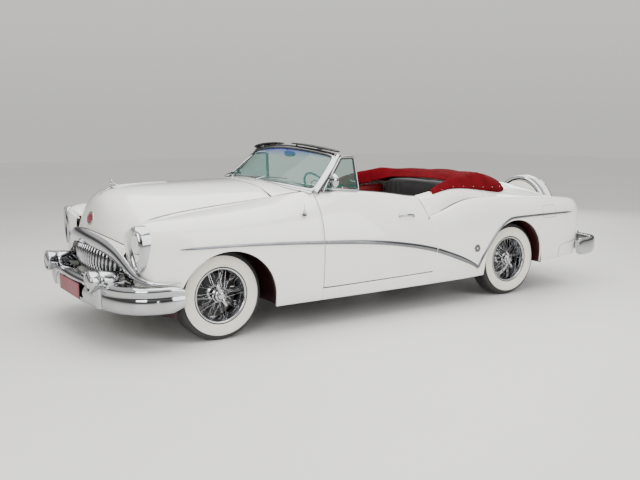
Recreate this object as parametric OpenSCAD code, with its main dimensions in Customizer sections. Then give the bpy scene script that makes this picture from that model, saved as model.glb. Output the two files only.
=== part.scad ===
// 1950s convertible car, as an assembly of separate panels, wheels and fittings.
// Frame: +X to the nose, +Y to the car's left, +Z up, millimetres.
// Origin: on the ground, under the middle of the overall length, on the centre plane.

/* [Overall] */
// Distance between the front and rear axles
wheelbase = 3086; // [2900:2:3250]
// X of the front axle
front_axle_x = 1750; // [1650:1:1850]
// Distance between the wheel centre planes
track = 1524; // [1460:2:1580]

/* [Wheels] */
// Outer radius of the tyre
tyre_r = 350; // [330:1:360]
// Width of the tyre
tyre_w = 196; // [180:1:210]
// Radius of the rim's edge
rim_r = 208; // [195:1:215]
// Number of spokes in a wheel
spoke_count = 24; // [12:2:40]
// Radius of a spoke
spoke_r = 2.5; // [2:0.1:4]
// Radius of the wheel's hub shell
hub_r = 52; // [40:1:60]
// Radius of the stub axle that a wheel turns on
stub_r = 17; // [12:0.5:24]
// Radial running clearance of shafts and pins
running_gap = 0.08; // [0.02:0.01:0.1]

/* [Body] */
// Thickness of a sheet panel with its frames
panel_t = 18; // [10:1:24]
// Gap round doors and lids
panel_gap = 6; // [5:0.5:9]
// Thickness of the hood and the trunk lid
lid_t = 20; // [12:1:26]
// Radius of the front wheel opening
front_arch_r = 408; // [395:1:425]
// Radius of the rear wheel opening
rear_arch_r = 388; // [380:1:400]
// Half the width of the trunk lid
lid_half_w = 610; // [540:5:640]

/* [Doors and hinges] */
// Radius of a hinge pin
hinge_pin_r = 6; // [4:0.5:8]
// Length of a hinge pin
hinge_pin_l = 60; // [40:1:80]

/* [Windscreen] */
// Thickness of the glass
glass_t = 6; // [4:0.5:8]
// Thickness of the screen's frame
screen_bar = 30; // [20:1:40]

/* [Hidden] */
$fn = 48;
mesh_fn = 32;
eps = 0.01;
rear_axle_x = front_axle_x - wheelbase;
wheel_z = tyre_r;
half_track = track / 2;
// Distances from the centre plane: steering pin, rear brake plate, inner wall of a rear wheel well
pin_y = half_track - 112;
brake_y = half_track - 92;
well_y = half_track - 202;
front_arch = [front_axle_x - 20, 298];
rear_arch = [rear_axle_x + 30, 355];

// ---- smooth surfaces: a net of points, drawn as a bicubic B-spline that passes close to them ----

function dot3(a, b) = a[0] * b[0] + a[1] * b[1] + a[2] * b[2];
function unit(a) = a / max(norm(a), 1e-9);
function filtered(p) = [for (i = [0:len(p) - 1])
    i == 0 || i == len(p) - 1 ? p[i] : (8 * p[i] - p[i - 1] - p[i + 1]) / 6];
function columns(net) = [for (j = [0:len(net[0]) - 1]) [for (i = [0:len(net) - 1]) net[i][j]]];
function control(net) = columns([for (c = columns([for (r = net) filtered(r)])) filtered(c)]);
function at(p, i) = i < 0 ? 2 * p[0] - p[1]
    : i > len(p) - 1 ? 2 * p[len(p) - 1] - p[len(p) - 2] : p[i];
function weights(t) = [pow(1 - t, 3) / 6, (3 * t * t * t - 6 * t * t + 4) / 6,
    (-3 * t * t * t + 3 * t * t + 3 * t + 1) / 6, t * t * t / 6];
function spline(p, u) = let (i = min(floor(max(u, 0)), len(p) - 2), w = weights(u - i))
    w[0] * at(p, i - 1) + w[1] * at(p, i) + w[2] * at(p, i + 1) + w[3] * at(p, i + 2);
function surface_point(q, u, v) = spline([for (row = q) spline(row, v)], u);
function surface_normal(q, u, v) = let (d = 0.02)
    unit(cross(surface_point(q, u + d, v) - surface_point(q, u - d, v),
        surface_point(q, u, v + d) - surface_point(q, u, v - d)));
function steps(a, b, n) = [for (i = [0:n]) a + (b - a) * i / n];

// A closed solid between two grids of points, with walls round its four sides.
module between(outer, inner) {
    n = len(outer);
    m = len(outer[0]);
    function o(i, j) = i * m + j;
    function k(i, j) = n * m + i * m + j;
    function two(a, b, c, d) = [[a, b, c], [a, c, d]];
    faces = concat(
        [for (i = [0:n - 2], j = [0:m - 2], f = two(o(i, j), o(i + 1, j), o(i + 1, j + 1), o(i, j + 1))) f],
        [for (i = [0:n - 2], j = [0:m - 2], f = two(k(i, j), k(i, j + 1), k(i + 1, j + 1), k(i + 1, j))) f],
        [for (i = [0:n - 2], f = two(o(i, 0), k(i, 0), k(i + 1, 0), o(i + 1, 0))) f],
        [for (i = [0:n - 2], f = two(o(i, m - 1), o(i + 1, m - 1), k(i + 1, m - 1), k(i, m - 1))) f],
        [for (j = [0:m - 2], f = two(o(0, j), o(0, j + 1), k(0, j + 1), k(0, j))) f],
        [for (j = [0:m - 2], f = two(o(n - 1, j), k(n - 1, j), k(n - 1, j + 1), o(n - 1, j + 1))) f]);
    polyhedron([for (r = outer, p = r) p, for (r = inner, p = r) p], faces, convexity = 10);
}

// A sheet of thickness t under the surface, over the range [u0, u1] by [v0, v1] of its net.
module sheet(net, u, v, t) { layer(net, u, v, 0, t); }

// A layer under the surface from depth d0 to depth d1; it reaches just across the centre plane.
module layer(net, u, v, d0, d1) {
    q = control(net);
    outer = [for (a = u) [for (b = v) lapped(surface_point(q, a, b), d0 * surface_normal(q, a, b))]];
    inner = [for (a = u) [for (b = v) lapped(surface_point(q, a, b), d1 * surface_normal(q, a, b))]];
    between(outer, inner);
}
function lapped(p, d) = abs(p[1]) < 0.01 ? [p[0] + d[0], -0.5, p[2] + d[2]] : p + d;

// Front fender and door side: stations from the nose back, rows from the inner flange down to the sill.
side_net = [
    [[2372, 604, 846], [2385, 606, 860], [2400, 610, 858], [2410, 614, 835], [2414, 618, 755],
        [2398, 622, 640], [2370, 625, 520], [2345, 625, 440]],
    [[2385, 660, 862], [2400, 700, 888], [2418, 735, 892], [2428, 752, 862], [2424, 760, 760],
        [2400, 755, 640], [2372, 748, 520], [2350, 745, 440]],
    [[2372, 624, 862], [2386, 660, 900], [2402, 770, 920], [2408, 830, 878], [2402, 855, 758],
        [2382, 855, 632], [2354, 846, 512], [2338, 840, 437]],
    [[2335, 614, 862], [2345, 622, 884], [2358, 790, 942], [2362, 880, 884], [2358, 908, 757],
        [2342, 908, 630], [2320, 899, 505], [2306, 893, 430]],
    [for (r = [[618, 893], [618, 915], [800, 957], [903, 892], [938, 760], [942, 625], [933, 495], [925, 420]])
        [2270, r[0], r[1]]],
    [for (r = [[622, 950], [622, 972], [815, 972], [915, 905], [955, 770], [962, 615], [950, 450], [940, 330]])
        [2050, r[0], r[1]]],
    [for (r = [[628, 988], [628, 1010], [818, 988], [925, 905], [970, 765], [975, 600], [960, 400], [940, 235]])
        [1720, r[0], r[1]]],
    [for (r = [[640, 1030], [640, 1052], [822, 1018], [925, 925], [978, 765], [983, 580], [965, 340], [940,
        232]])
        [1300, r[0], r[1]]],
    [for (r = [[772, 1095], [786, 1116], [872, 1030], [935, 915], [983, 755], [985, 560], [965, 323], [938,
        230]])
        [895, r[0], r[1]]],
    [for (r = [[770, 1092], [815, 1085], [885, 1005], [942, 890], [985, 730], [985, 540], [963, 330], [938,
        231]])
        [480, r[0], r[1]]],
    [for (r = [[770, 1055], [815, 1048], [885, 970], [942, 860], [983, 700], [983, 520], [960, 337], [938,
        233]])
        [100, r[0], r[1]]],
    [[-195, 768, 1010], [-200, 812, 1003], [-215, 882, 925], [-240, 940, 822], [-300, 975, 690],
        [-319, 978, 520], [-285, 958, 345], [-270, 936, 235]],
    [[-430, 765, 1045], [-430, 800, 1040], [-445, 872, 955], [-470, 928, 880], [-520, 972, 740],
        [-560, 980, 540], [-540, 962, 350], [-520, 936, 238]]
];

// Rear fender: stations from ahead of the door's rear gap to the tail, rows from the valley down to the sill.
rear_net = [
    [for (r = [[880, 880], [942, 860], [983, 700], [983, 520], [960, 337], [938, 233]]) [100, r[0], r[1]]],
    [[-240, 900, 838], [-240, 940, 822], [-300, 975, 690], [-319, 978, 520], [-285, 958, 345], [-270, 936,
        235]],
    [for (r = [[872, 888], [925, 882], [972, 740], [980, 540], [962, 350], [936, 238]]) [-470, r[0], r[1]]],
    [for (r = [[838, 952], [900, 963], [966, 830], [982, 600], [966, 400], [938, 242]]) [-740, r[0], r[1]]],
    [for (r = [[800, 950], [885, 963], [962, 840], [978, 640], [966, 440], [940, 260]]) [-1080, r[0], r[1]]],
    [for (r = [[770, 936], [870, 953], [952, 840], [966, 650], [954, 460], [930, 290]]) [-1450, r[0], r[1]]],
    [for (r = [[745, 910], [850, 932], [932, 825], [942, 650], [930, 470], [908, 305]]) [-1850, r[0], r[1]]],
    [for (r = [[725, 885], [828, 906], [905, 812], [914, 660], [900, 480], [880, 320]]) [-2160, r[0], r[1]]],
    [[-2290, 720, 868], [-2290, 802, 888], [-2292, 868, 800], [-2295, 876, 660], [-2290, 862, 490], [-2285,
        845, 335]],
    [[-2338, 740, 830], [-2340, 770, 842], [-2345, 800, 780], [-2348, 805, 660], [-2342, 796, 510], [-2335,
        785, 360]]
];

// Upper rear body: stations from the door's rear gap to the tail, rows from the centre plane to the valley.
upper_net = [
    [[-200, 0, 1040], [-200, 300, 1035], [-200, 540, 1025], [-200, 700, 1012], [-200, 812, 1003], [-217,
        881, 925],
        [-239, 928, 838]],
    [for (r = [[0, 1060], [300, 1055], [540, 1050], [700, 1046], [800, 1040], [862, 970], [885,
        888]]) [-430, r[0], r[1]]],
    [for (r = [[0, 1090], [300, 1085], [540, 1080], [700, 1076], [782, 1068], [832, 1010], [842,
        952]]) [-650, r[0], r[1]]],
    [for (r = [[0, 1095], [300, 1085], [530, 1065], [670, 1035], [740, 1005], [780, 972], [802,
        952]]) [-1080, r[0], r[1]]],
    [for (r = [[0, 1095], [300, 1078], [490, 1040], [600, 992], [670, 955], [730, 938], [770,
        937]]) [-1450, r[0], r[1]]],
    [for (r = [[0, 1050], [300, 1032], [470, 990], [570, 940], [640, 910], [700, 902], [745, 910]]) [-1850,
        r[0], r[1]]],
    [for (r = [[0, 970], [300, 955], [460, 925], [560, 890], [630, 868], [690, 868], [725, 885]]) [-2160,
        r[0], r[1]]],
    [for (r = [[0, 900], [300, 892], [460, 872], [560, 850], [630, 840], [690, 848], [722, 868]]) [-2290,
        r[0], r[1]]],
    [for (r = [[0, 760], [300, 755], [460, 745], [560, 735], [630, 735], [690, 760], [738, 800]]) [-2345,
        r[0], r[1]]],
    [for (r = [[0, 500], [300, 500], [460, 498], [560, 495], [630, 495], [690, 505], [738, 520]]) [-2350,
        r[0], r[1]]]
];

// Hood: stations from the grille back to the cowl, rows from the centre plane to the seam.
hood_net = [
    [[2486, 0, 822], [2478, 200, 815], [2450, 380, 796], [2408, 520, 768], [2375, 582, 748]],
    [[2466, 0, 905], [2458, 200, 897], [2428, 380, 870], [2385, 520, 835], [2352, 587, 812]],
    [[2440, 0, 1000], [2432, 200, 988], [2398, 380, 945], [2350, 520, 895], [2318, 592, 868]],
    [[2390, 0, 1082], [2382, 200, 1066], [2345, 380, 1012], [2300, 520, 950], [2270, 598, 915]],
    [[2300, 0, 1134], [2290, 200, 1118], [2258, 380, 1064], [2222, 520, 995], [2200, 602, 945]],
    [[2150, 0, 1158], [2145, 200, 1144], [2120, 380, 1096], [2090, 520, 1030], [2070, 606, 972]],
    [[1880, 0, 1168], [1878, 200, 1157], [1865, 380, 1120], [1850, 520, 1062], [1840, 609, 1002]],
    [[1560, 0, 1174], [1560, 200, 1165], [1555, 380, 1137], [1550, 520, 1092], [1545, 611, 1030]],
    [[1230, 0, 1180], [1225, 200, 1173], [1215, 380, 1152], [1205, 520, 1118], [1195, 636, 1062]]
];

// Cowl between the hood and the windscreen.
cowl_net = [
    [[1223, 0, 1181], [1218, 200, 1174], [1208, 380, 1153], [1198, 520, 1119], [1188, 652, 1066]],
    [[1100, 0, 1184], [1096, 200, 1178], [1086, 380, 1160], [1072, 530, 1136], [1062, 688, 1094]],
    [[980, 0, 1180], [976, 200, 1176], [966, 380, 1163], [955, 560, 1141], [945, 738, 1110]],
    [[880, 0, 1172], [878, 200, 1168], [874, 380, 1158], [870, 560, 1143], [866, 738, 1120]]
];

// Windscreen: from the base up to the header, rows from the centre plane to the side post.
screen_net = [
    [[1110, 0, 1170], [1092, 300, 1158], [1020, 590, 1130], [944, 762, 1106], [908, 828, 1092]],
    [[900, 0, 1310], [884, 270, 1302], [828, 530, 1282], [772, 705, 1262], [735, 768, 1250]],
    [[682, 0, 1461], [672, 240, 1452], [648, 460, 1433], [615, 620, 1411], [588, 697, 1394]]
];

// ---- small helpers ----

module both() { for (s = [0, 1]) mirror([0, s, 0]) children(); }
module box(low, high) { translate(low) cube([high[0] - low[0], high[1] - low[1], high[2] - low[2]]); }
module along_y(pos, r, h) { translate(pos) rotate([-90, 0, 0]) cylinder(r = r, h = h); }
module along_x(pos, r, h) { translate(pos) rotate([0, 90, 0]) cylinder(r = r, h = h); }
module arch(centre, r) {
    translate([centre[0], 600, centre[1]]) rotate([-90, 0, 0]) cylinder(r = r, h = 500, $fn = 40);
    box([centre[0] - r, 600, 0], [centre[0] + r, 1100, centre[1]]);
}

// A tube of radius r along a path, as one closed solid.
module tube(path, r, sides = 10) {
    n = len(path);
    function dir(i) = unit(path[min(i + 1, n - 1)] - path[max(i - 1, 0)]);
    rings = [for (i = [0:n - 1]) let (d = dir(i), a = unit(cross(d, [0.03, 0.05, 1])), b = cross(a, d))
        for (k = [0:sides - 1]) path[i] + r * (cos(360 * k / sides) * a + sin(360 * k / sides) * b)];
    faces = concat([[for (k = [sides - 1:-1:0]) k]], [[for (k = [0:sides - 1]) (n - 1) * sides + k]],
        [for (i = [0:n - 2], k = [0:sides - 1]) let (a = i * sides + k, b = i * sides + (k + 1) % sides)
            [a, b, b + sides, a + sides]]);
    polyhedron(rings, faces, convexity = 8);
}

// ---- painted panels ----

module headlamp_shape(grow) {
    translate([2372, 792, 752]) rotate([0, 3, 12]) rotate([0, 90, 0]) scale([1, 0.5, 1])
        cylinder(r = 168 + grow, h = 62 + grow, $fn = 32);
}
module fender_raw() {
    sheet(side_net, steps(0, 8, 24), steps(0, 7, 14), panel_t);
}
module fender() {
    resize([0, 0, 0]) difference() {
        fender_raw();
        arch(front_arch, front_arch_r);
        box([500, 500, 0], [895 + panel_gap / 2, 1100, 1300]);
        headlamp_shape(0);
    }
}

module door() {
    q = control(side_net);
    us = steps(8.02, 10.985, 8);
    vs = steps(0, 5.95, 12);
    outer = [for (a = us) [for (b = vs) surface_point(q, a, b)]];
    function lining(p) = 770 + max(0, 1080 - p[2]) * 0.11 + 20 * pow((1080 - p[2]) / 700, 2)
        + 12 * pow((p[0] - 300) / 600, 2);
    inner = [for (i = [0:8]) [for (p = outer[i])
        [p[0] + (i == 8 ? 30 : 0), min(p[1] - 20, lining(p)), p[2] + (p[2] > 1000 ? -16 : 0)]]];
    resize([0, 0, 0]) between(outer, inner);
}

module quarter() {
    resize([0, 0, 0]) difference() {
        union() {
            sheet(rear_net, steps(1.03, 9, 20), steps(0, 5, 10), panel_t);
            sheet(upper_net, steps(0.03, 3, 8), steps(3.5, 6, 5), panel_t);
            sheet(upper_net, steps(3, 7, 16), steps(3, 6, 6), panel_t);
        }
        arch(rear_arch, rear_arch_r);
    }
}

module hood() {
    resize([0, 0, 0]) both() sheet(hood_net, steps(0, 8, 20), steps(0, 4, 8), lid_t);
}
module cowl() {
    resize([0, 0, 0]) {
        both() sheet(cowl_net, steps(0, 3, 6), steps(0, 4, 8), panel_t);
        translate([1140, 0, 0]) rotate([90, 0, 90]) linear_extrude(10)
            polygon([[-600, 315], [600, 315], [600, 1078], [520, 1106], [380, 1142], [0, 1172],
                [-380, 1142], [-520, 1106], [-600, 1078]]);
    }
}
module rear_deck() {
    resize([0, 0, 0]) difference() {
        both() {
            sheet(upper_net, steps(3, 4.5, 6), steps(0, 3, 6), panel_t);
            sheet(upper_net, steps(7, 9, 6), steps(0, 6, 12), panel_t);
        }
        both() layer(rear_net, steps(1.03, 9, 20), steps(0, 5, 10), -0.3, panel_t + 0.3);
    }
}
module trunk_lid() {
    resize([0, 0, 0]) both() sheet(upper_net, steps(4.56, 6.93, 10), steps(0, 2.92, 8), lid_t);
}

// ---- underbody ----

module underbody() {
    q = control(side_net);
    resize([0, 0, 0]) difference() {
        union() {
            box([-1000, -well_y, 305], [-890, well_y, 315]);
            box([-897, -880, 305], [1150, 880, 315]);
            box([-1010, -well_y, 305], [-1000, well_y, 1040]);
            box([-2330, -well_y, 480], [-1000, well_y, 490]);
            both() {
                outer = [for (a = steps(8.02, 10.98, 6)) [for (b = steps(6.05, 7, 2)) surface_point(q, a, b)]];
                inner = [for (r = outer) [for (p = r) [p[0], 870, p[2]]]];
                between(outer, inner);
                box([-2200, well_y - 4, 330], [-900, well_y + 2, 760]);
                wheelhouse();
            }
        }
        both() layer(rear_net, steps(1.03, 9, 20), steps(0, 5, 10), -60, panel_t + 0.3);
        both() layer(side_net, steps(5, 8, 9), steps(0, 7, 14), -60, panel_t + 0.3);
        along_y([rear_axle_x, -900, wheel_z], 60, 1800);
        box([rear_axle_x - 60, -900, 100], [rear_axle_x + 60, 900, wheel_z]);
    }
}
module wheelhouse() {
    difference() {
        translate([rear_arch[0], well_y, rear_arch[1]]) rotate([-90, 0, 0]) cylinder(r = rear_arch_r + 22,
            h = 970 - well_y, $fn = 40);
        translate([rear_arch[0], well_y + 8, rear_arch[1]]) rotate([-90, 0, 0]) cylinder(r = rear_arch_r + 14,
            h = 980 - well_y, $fn = 40);
        box([rear_arch[0] - 500, well_y - 60, -200], [rear_arch[0] + 500, 1100, rear_arch[1] - 20]);
    }
}
module chassis_frame() {
    both() box([-2350, 400, 215], [2330, 460, 305]);
    for (x = [-1800, -600, 500, 2200]) box([x, -400, 215], [x + 60, 400, 226]);
}
module engine() {
    box([1260, -290, 300], [1990, 290, 880]);
    box([700, -110, 242], [1262, 110, 304.5]);
}
module exhaust() {
    both() {
        along_x([-2280, 330, 262], 24, 3600);
        along_x([-450, 330, 240], 58, 640);
        box([200, 322, 270], [220, 338, 305]);
    }
}
module fuel_tank() { box([-2250, -380, 300], [-1760, 380, 480]); }
module front_suspension() {
    box([1690, -400, 241], [1810, 400, 299.8]);
    both() {
        box([1715, 460, 222], [1785, pin_y - 50, 244]);
        hull() {
            box([1715, pin_y - 60, 222], [1785, pin_y - 50, 244]);
            translate([front_axle_x, pin_y, 222]) cylinder(r = 12, h = 22);
        }
        box([1730, 440, 305], [1770, 462, 478]);
        box([1730, 440, 456], [1770, pin_y - 50, 478]);
        translate([front_axle_x, pin_y, 456]) cylinder(r = 12, h = 22);
        box([1740, pin_y - 52, 456], [1760, pin_y, 478]);
    }
}
module rear_axle() {
    along_y([rear_axle_x, -brake_y, wheel_z], 38, 2 * brake_y);
    both() along_y([rear_axle_x, brake_y, wheel_z], 120, 10);
    both() along_y([rear_axle_x, brake_y + 10, wheel_z], stub_r, 150);
    translate([rear_axle_x, 0, wheel_z]) sphere(r = 125);
    along_x([rear_axle_x, 0, 275], 27, 699.7 - rear_axle_x);
    both() box([rear_axle_x - 50, 405, 305], [rear_axle_x + 50, 455, 340]);
}

// ---- cabin ----

module windshield_frame() {
    resize([0, 0, 0]) difference() {
        both() sheet(screen_net, steps(0, 2, 6), steps(0, 4, 10), screen_bar);
        both() layer(screen_net, steps(0.22, 1.9, 6), steps(0, 3.78, 10), -10, 50);
        both() layer(cowl_net, steps(0, 3, 6), steps(0, 4, 8), -0.3, 120);
        both() layer(side_net, steps(6.5, 8, 6), steps(0, 3, 6), -0.3, 120);
        both() box([300, 600, 900], [901, 1000, 1128]);
        both() box([878, 738, 900], [1000, 1000, 1106]);
    }
}
module windshield_glass() {
    resize([0, 0, 0]) both()
        layer(screen_net, steps(0.2235, 1.8965, 6), steps(0, 3.7765, 10), 8, 8 + glass_t);
}
module dashboard() {
    resize([0, 0, 0]) difference() {
        union() {
            translate([0, 690, 0]) rotate([90, 0, 0]) linear_extrude(1380)
                polygon([[900, 860], [940, 850], [1139.7, 850], [1139.7, 1000], [960, 1130], [890, 1120],
                    [872, 1080], [880, 960]]);
        }
        both() layer(cowl_net, steps(0, 3, 6), steps(0, 4, 8), -10, panel_t + 0.3);
        both() layer(side_net, steps(5, 8, 9), steps(0, 3, 6), -0.3, panel_t + 0.3);
        both() door_sweep();
        both() layer(screen_net, steps(0, 1, 4), steps(0, 4, 10), -5, 40);
    }
    column_axis() translate([0, 0, -675]) cylinder(r = 24, h = 610);
    box([900, 370, 815], [930, 390, 862]);
}
module door_sweep() { box([400, 745, 300], [900, 1000, 1300]); }
module column_axis() { translate(steer_centre) rotate([0, -90 + steer_tilt, 0]) children(); }
module steering_wheel() {
    column_axis() {
        rotate_extrude($fn = 48) translate([205, 0]) circle(r = 11, $fn = 12);
        translate([0, 0, -50]) cylinder(r = 30, h = 60);
        for (a = [0, 180]) rotate([0, 0, a + 90]) translate([20, -9, -8]) cube([180, 18, 8]);
    }
}
module front_seat() {
    box([-280, -640, 315], [330, 640, 510]);
    translate([0, 640, 0]) rotate([90, 0, 0]) linear_extrude(1280)
        polygon([[-250, 330], [-110, 505], [-230, 950], [-330, 960], [-400, 880], [-320, 330]]);
}
module rear_seat() {
    seat_y = well_y - 20;
    box([-860, -seat_y, 330], [-440, seat_y, 520]);
    translate([0, seat_y, 0]) rotate([90, 0, 0]) linear_extrude(2 * seat_y)
        polygon([[-999.7, 330], [-860, 330], [-810, 520], [-880, 1085], [-930, 1100], [-999.7, 1090]]);
}
module top_boot() {
    resize([0, 0, 0]) both() {
        boot_pad(steps(0.03 + 2.97 * 5 / 8, 3, 3), steps(3.5, 4.5, 2));
        boot_pad(steps(3, 4.25, 5), steps(0, 4, 8));
    }
}
// A cushion-like layer that lies 0.3 mm above the body, highest along its middle.
module boot_pad(us, vs) {
    q = control(upper_net);
    n = len(us) - 1;
    m = len(vs) - 1;
    function rise(f) = 1 - pow(abs(2 * f - 1), 4);
    top = [for (i = [0:n]) [for (j = [0:m]) let (f = vs[0] == 0 ? 0.5 + j / m / 2 : j / m)
        lapped(surface_point(q, us[i], vs[j]), -(12 + 55 * rise(i / n) * rise(f)) * surface_normal(q,
            us[i], vs[j]))]];
    low = [for (u = us) [for (v = vs) lapped(surface_point(q, u, v), -0.3 * surface_normal(q, u, v))]];
    between(top, low);
}
module vent_window() {
    resize([0, 0, 0]) difference() {
        vent_raw();
        door();
    }
}
module vent_raw() {
    multmatrix([[1, 0, 0, 0], [0.1414, 1, -0.1425, 869.1], [0, 0, 1, 0], [0, 0, 0, 1]]) {
        translate([0, 8, 0]) rotate([90, 0, 0]) linear_extrude(16) difference() {
            polygon(vent_outline);
            offset(delta = -16) polygon(vent_outline);
        }
        translate([0, 3, 0]) rotate([90, 0, 0]) linear_extrude(6) polygon(vent_outline);
    }
}
vent_outline = [[812, 1112], [590, 1366], [452, 1370], [430, 1350], [410, 1090], [600, 1100]];

// ---- front and rear trim ----

function bar_outline(a, b) = concat(a, [for (i = [len(b) - 1:-1:0]) b[i]]);
front_line = [[2100, 989], [2250, 981], [2370, 950], [2470, 880], [2550, 750], [2602, 540], [2630, 260],
    [2636, 0]];
rear_line = [[-2305, 928], [-2445, 918], [-2560, 870], [-2629, 780], [-2662, 600], [-2678, 300], [-2682, 0]];
module plan_bar(line, thick, z0, z1) {
    c = [for (p = line) [p[0], -p[1]]];
    outer = concat(line, [for (i = [len(c) - 2:-1:0]) c[i]]);
    inner = [for (p = outer) let (w = norm(p)) [p[0] * (1 - thick / abs(outer[floor(len(outer) / 2)][0])),
        p[1] * (1 - thick / 930)]];
    translate([0, 0, z0]) linear_extrude(z1 - z0) polygon(bar_outline(outer, inner));
}
module front_bumper() {
    plan_bar(front_line, 28, 300, 494);
    both() {
        translate([2520, 540, 504]) rotate([0, 90, 0]) rotate_extrude()
            polygon([[0, 0], [40, 0], [62, 60], [72, 120], [74, 150], [68, 160], [50, 160], [44, 150], [0,
                162]]);
        box([2300, 405, 305], [2590, 455, 345]);
    }
}
module front_plate() { box([2636.3, -260, 325], [2644.3, 260, 445]); }
module rear_bumper() {
    plan_bar(rear_line, 40, 314, 486);
    both() box([-2630, 405, 295], [-2360, 455, 420]);
}
module grille() {
    resize([0, 0, 0]) difference() {
        union() {
            box([2322, -600, 440], [2332, 600, 742]);
            for (i = [-12:12]) let (y = i * 42, x = 2300 + 112 * sqrt(1 - pow(y / 560, 2)))
                translate([0, y + 6, 0]) rotate([90, 0, 0]) linear_extrude(12)
                    polygon([[2330, 470], [x + 10, 470], [x + 62, 510], [x + 82, 590], [x + 72, 670],
                        [x + 30, 735], [2330, 735]]);
            both() box([2320, 560, 470], [2345, 640, 735]);
        }
        both() layer(side_net, steps(0, 3, 9), steps(0, 7, 14), -0.3, panel_t + 0.3);
        both() layer(hood_net, steps(0, 2, 5), steps(0, 4, 8), -5, lid_t + 6);
    }
}
function moulding_path() = [[2548, 0, 792], [2535, 150, 786], [2505, 300, 766], [2470, 420, 732], [2440,
    520, 690],
    [2428, 620, 640], [2422, 745, 585], [2392, 845, 549], [2340, 915, 534]];
module grille_moulding() {
    resize([0, 0, 0]) difference() {
        tube(concat([for (i = [8:-1:1]) let (p = moulding_path()[i]) [p[0], -p[1], p[2]]],
            moulding_path()), 20, 10);
        both() layer(side_net, steps(0, 8, 24), steps(0, 7, 14), -0.3, panel_t + 0.3);
        both() layer(hood_net, steps(0, 8, 20), steps(0, 4, 8), -5, lid_t + 6);
        both() headlamp_shape(0.6);
        grille();
    }
}
module headlamps() {
    resize([0, 0, 0]) both() difference() {
        headlamp_shape(-0.3);
        translate([2400, 800, 790]) rotate([0, 3, 12]) rotate([0, 90, 0]) cylinder(r = 60, h = 80, $fn = 24);
    }
}
module tail_lamps() {
    resize([0, 0, 0]) both() difference() {
        translate([-2352, 768, 690]) scale([0.35, 0.26, 1]) sphere(r = 135, $fn = 16);
        layer(rear_net, steps(6, 9, 8), steps(0, 5, 10), -0.3, panel_t + 0.3);
        layer(upper_net, steps(6, 9, 9), steps(3, 6, 6), -0.3, panel_t + 0.3);
    }
}
module spare_wheel() {
    translate([-2365, 0, 690]) rotate([0, -90, 0]) rotate_extrude($fn = 64)
        polygon([[0, 40], [60, 40], [150, 20], [230, 0], [330, 0], [375, 20], [390, 60], [390, 130], [375,
            165], [330, 182],
            [250, 185], [222, 178], [214, 130], [70, 110], [52, 150], [0, 156]]);
}
module spare_carrier() {
    box([-2420, -460, 215], [-2350, 460, 295]);
    box([-2600, -150, 250], [-2420, 150, 299.7]);
}

// ---- wheels ----

module tyre() {
    rotate_extrude($fn = 72) polygon([[rim_r, 72], [rim_r + 22, 88], [rim_r + 60, tyre_w / 2],
        [rim_r + 100, tyre_w / 2 - 3],
        [tyre_r - 18, 80], [tyre_r - 4, 66], [tyre_r, 40], [tyre_r, -40], [tyre_r - 4, -66], [tyre_r - 18, -80],
        [rim_r + 100, 3 - tyre_w / 2], [rim_r + 60, -tyre_w / 2], [rim_r + 22, -88], [rim_r, -72]]);
}
module wheel() {
    difference() {
        union() {
            rotate_extrude($fn = 72) polygon([[rim_r - 14, 84], [rim_r - 0.3, 84], [rim_r - 0.3, -84],
                [rim_r - 14, -84],
                [rim_r - 20, -60], [rim_r - 20, 60]]);
            translate([0, 0, -76]) cylinder(r = hub_r, h = 152);
            for (i = [0:spoke_count - 1]) rotate([0, 0, 360 * i / spoke_count])
                translate([hub_r - 8, 0, i % 2 == 0 ? 58 : -40]) rotate([0, i % 2 == 0 ? 90 + 14 : 90 - 10, 0])
                    cylinder(r = spoke_r * 1.6, h = rim_r - hub_r, $fn = 6);
        }
        translate([0, 0, -80]) cylinder(r = stub_r + running_gap, h = 150);
    }
}
module place(x, y) { translate([x, y, wheel_z]) rotate([-90, 0, 0]) children(); }
module knuckle() {
    translate([front_axle_x, pin_y, 249.5]) cylinder(r = 24, h = 201);
    along_y([front_axle_x, pin_y + 18, wheel_z], 140, 8);
    along_y([front_axle_x, pin_y, wheel_z], stub_r, 170);
}
steer_centre = [540, 380, 1045];
steer_tilt = 30;

color("ivory") fender();  // fender_left
color("ivory") mirror([0, 1, 0]) fender();  // fender_right
color("ivory") door();  // door_left
color("ivory") mirror([0, 1, 0]) door();  // door_right
color("ivory") quarter();  // quarter_left
color("ivory") mirror([0, 1, 0]) quarter();  // quarter_right
color("ivory") hood();
color("ivory") cowl();
color("ivory") rear_deck();
color("ivory") trunk_lid();
color("maroon") underbody();
color("dimgray") chassis_frame();
color("gray") engine();
color("silver") exhaust();
color("dimgray") fuel_tank();
color("dimgray") front_suspension();
color("dimgray") rear_axle();
color("silver") windshield_frame();
color("lightblue") windshield_glass();
color("firebrick") dashboard();
color("dimgray") steering_wheel();
color("firebrick") front_seat();
color("firebrick") rear_seat();
color("red") top_boot();
color("silver") vent_window();  // vent_window_left
color("silver") mirror([0, 1, 0]) vent_window();  // vent_window_right
color("silver") front_bumper();
color("firebrick") front_plate();
color("silver") rear_bumper();
color("silver") grille();
color("silver") grille_moulding();
color("silver") headlamps();
color("red") tail_lamps();
color("ivory") spare_wheel();
color("ivory") spare_carrier();
color("dimgray") knuckle();  // knuckle_left
color("dimgray") mirror([0, 1, 0]) knuckle();  // knuckle_right
color("black") place(front_axle_x, half_track) tyre();  // tyre_front_left
color("black") place(front_axle_x, -half_track) tyre();  // tyre_front_right
color("black") place(rear_axle_x, half_track) tyre();  // tyre_rear_left
color("black") place(rear_axle_x, -half_track) tyre();  // tyre_rear_right
color("silver") place(front_axle_x, half_track) wheel();  // wheel_front_left
color("silver") mirror([0, 1, 0]) place(front_axle_x,  // wheel_front_right
    half_track) wheel();
color("silver") place(rear_axle_x, half_track) wheel();  // wheel_rear_left
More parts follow.
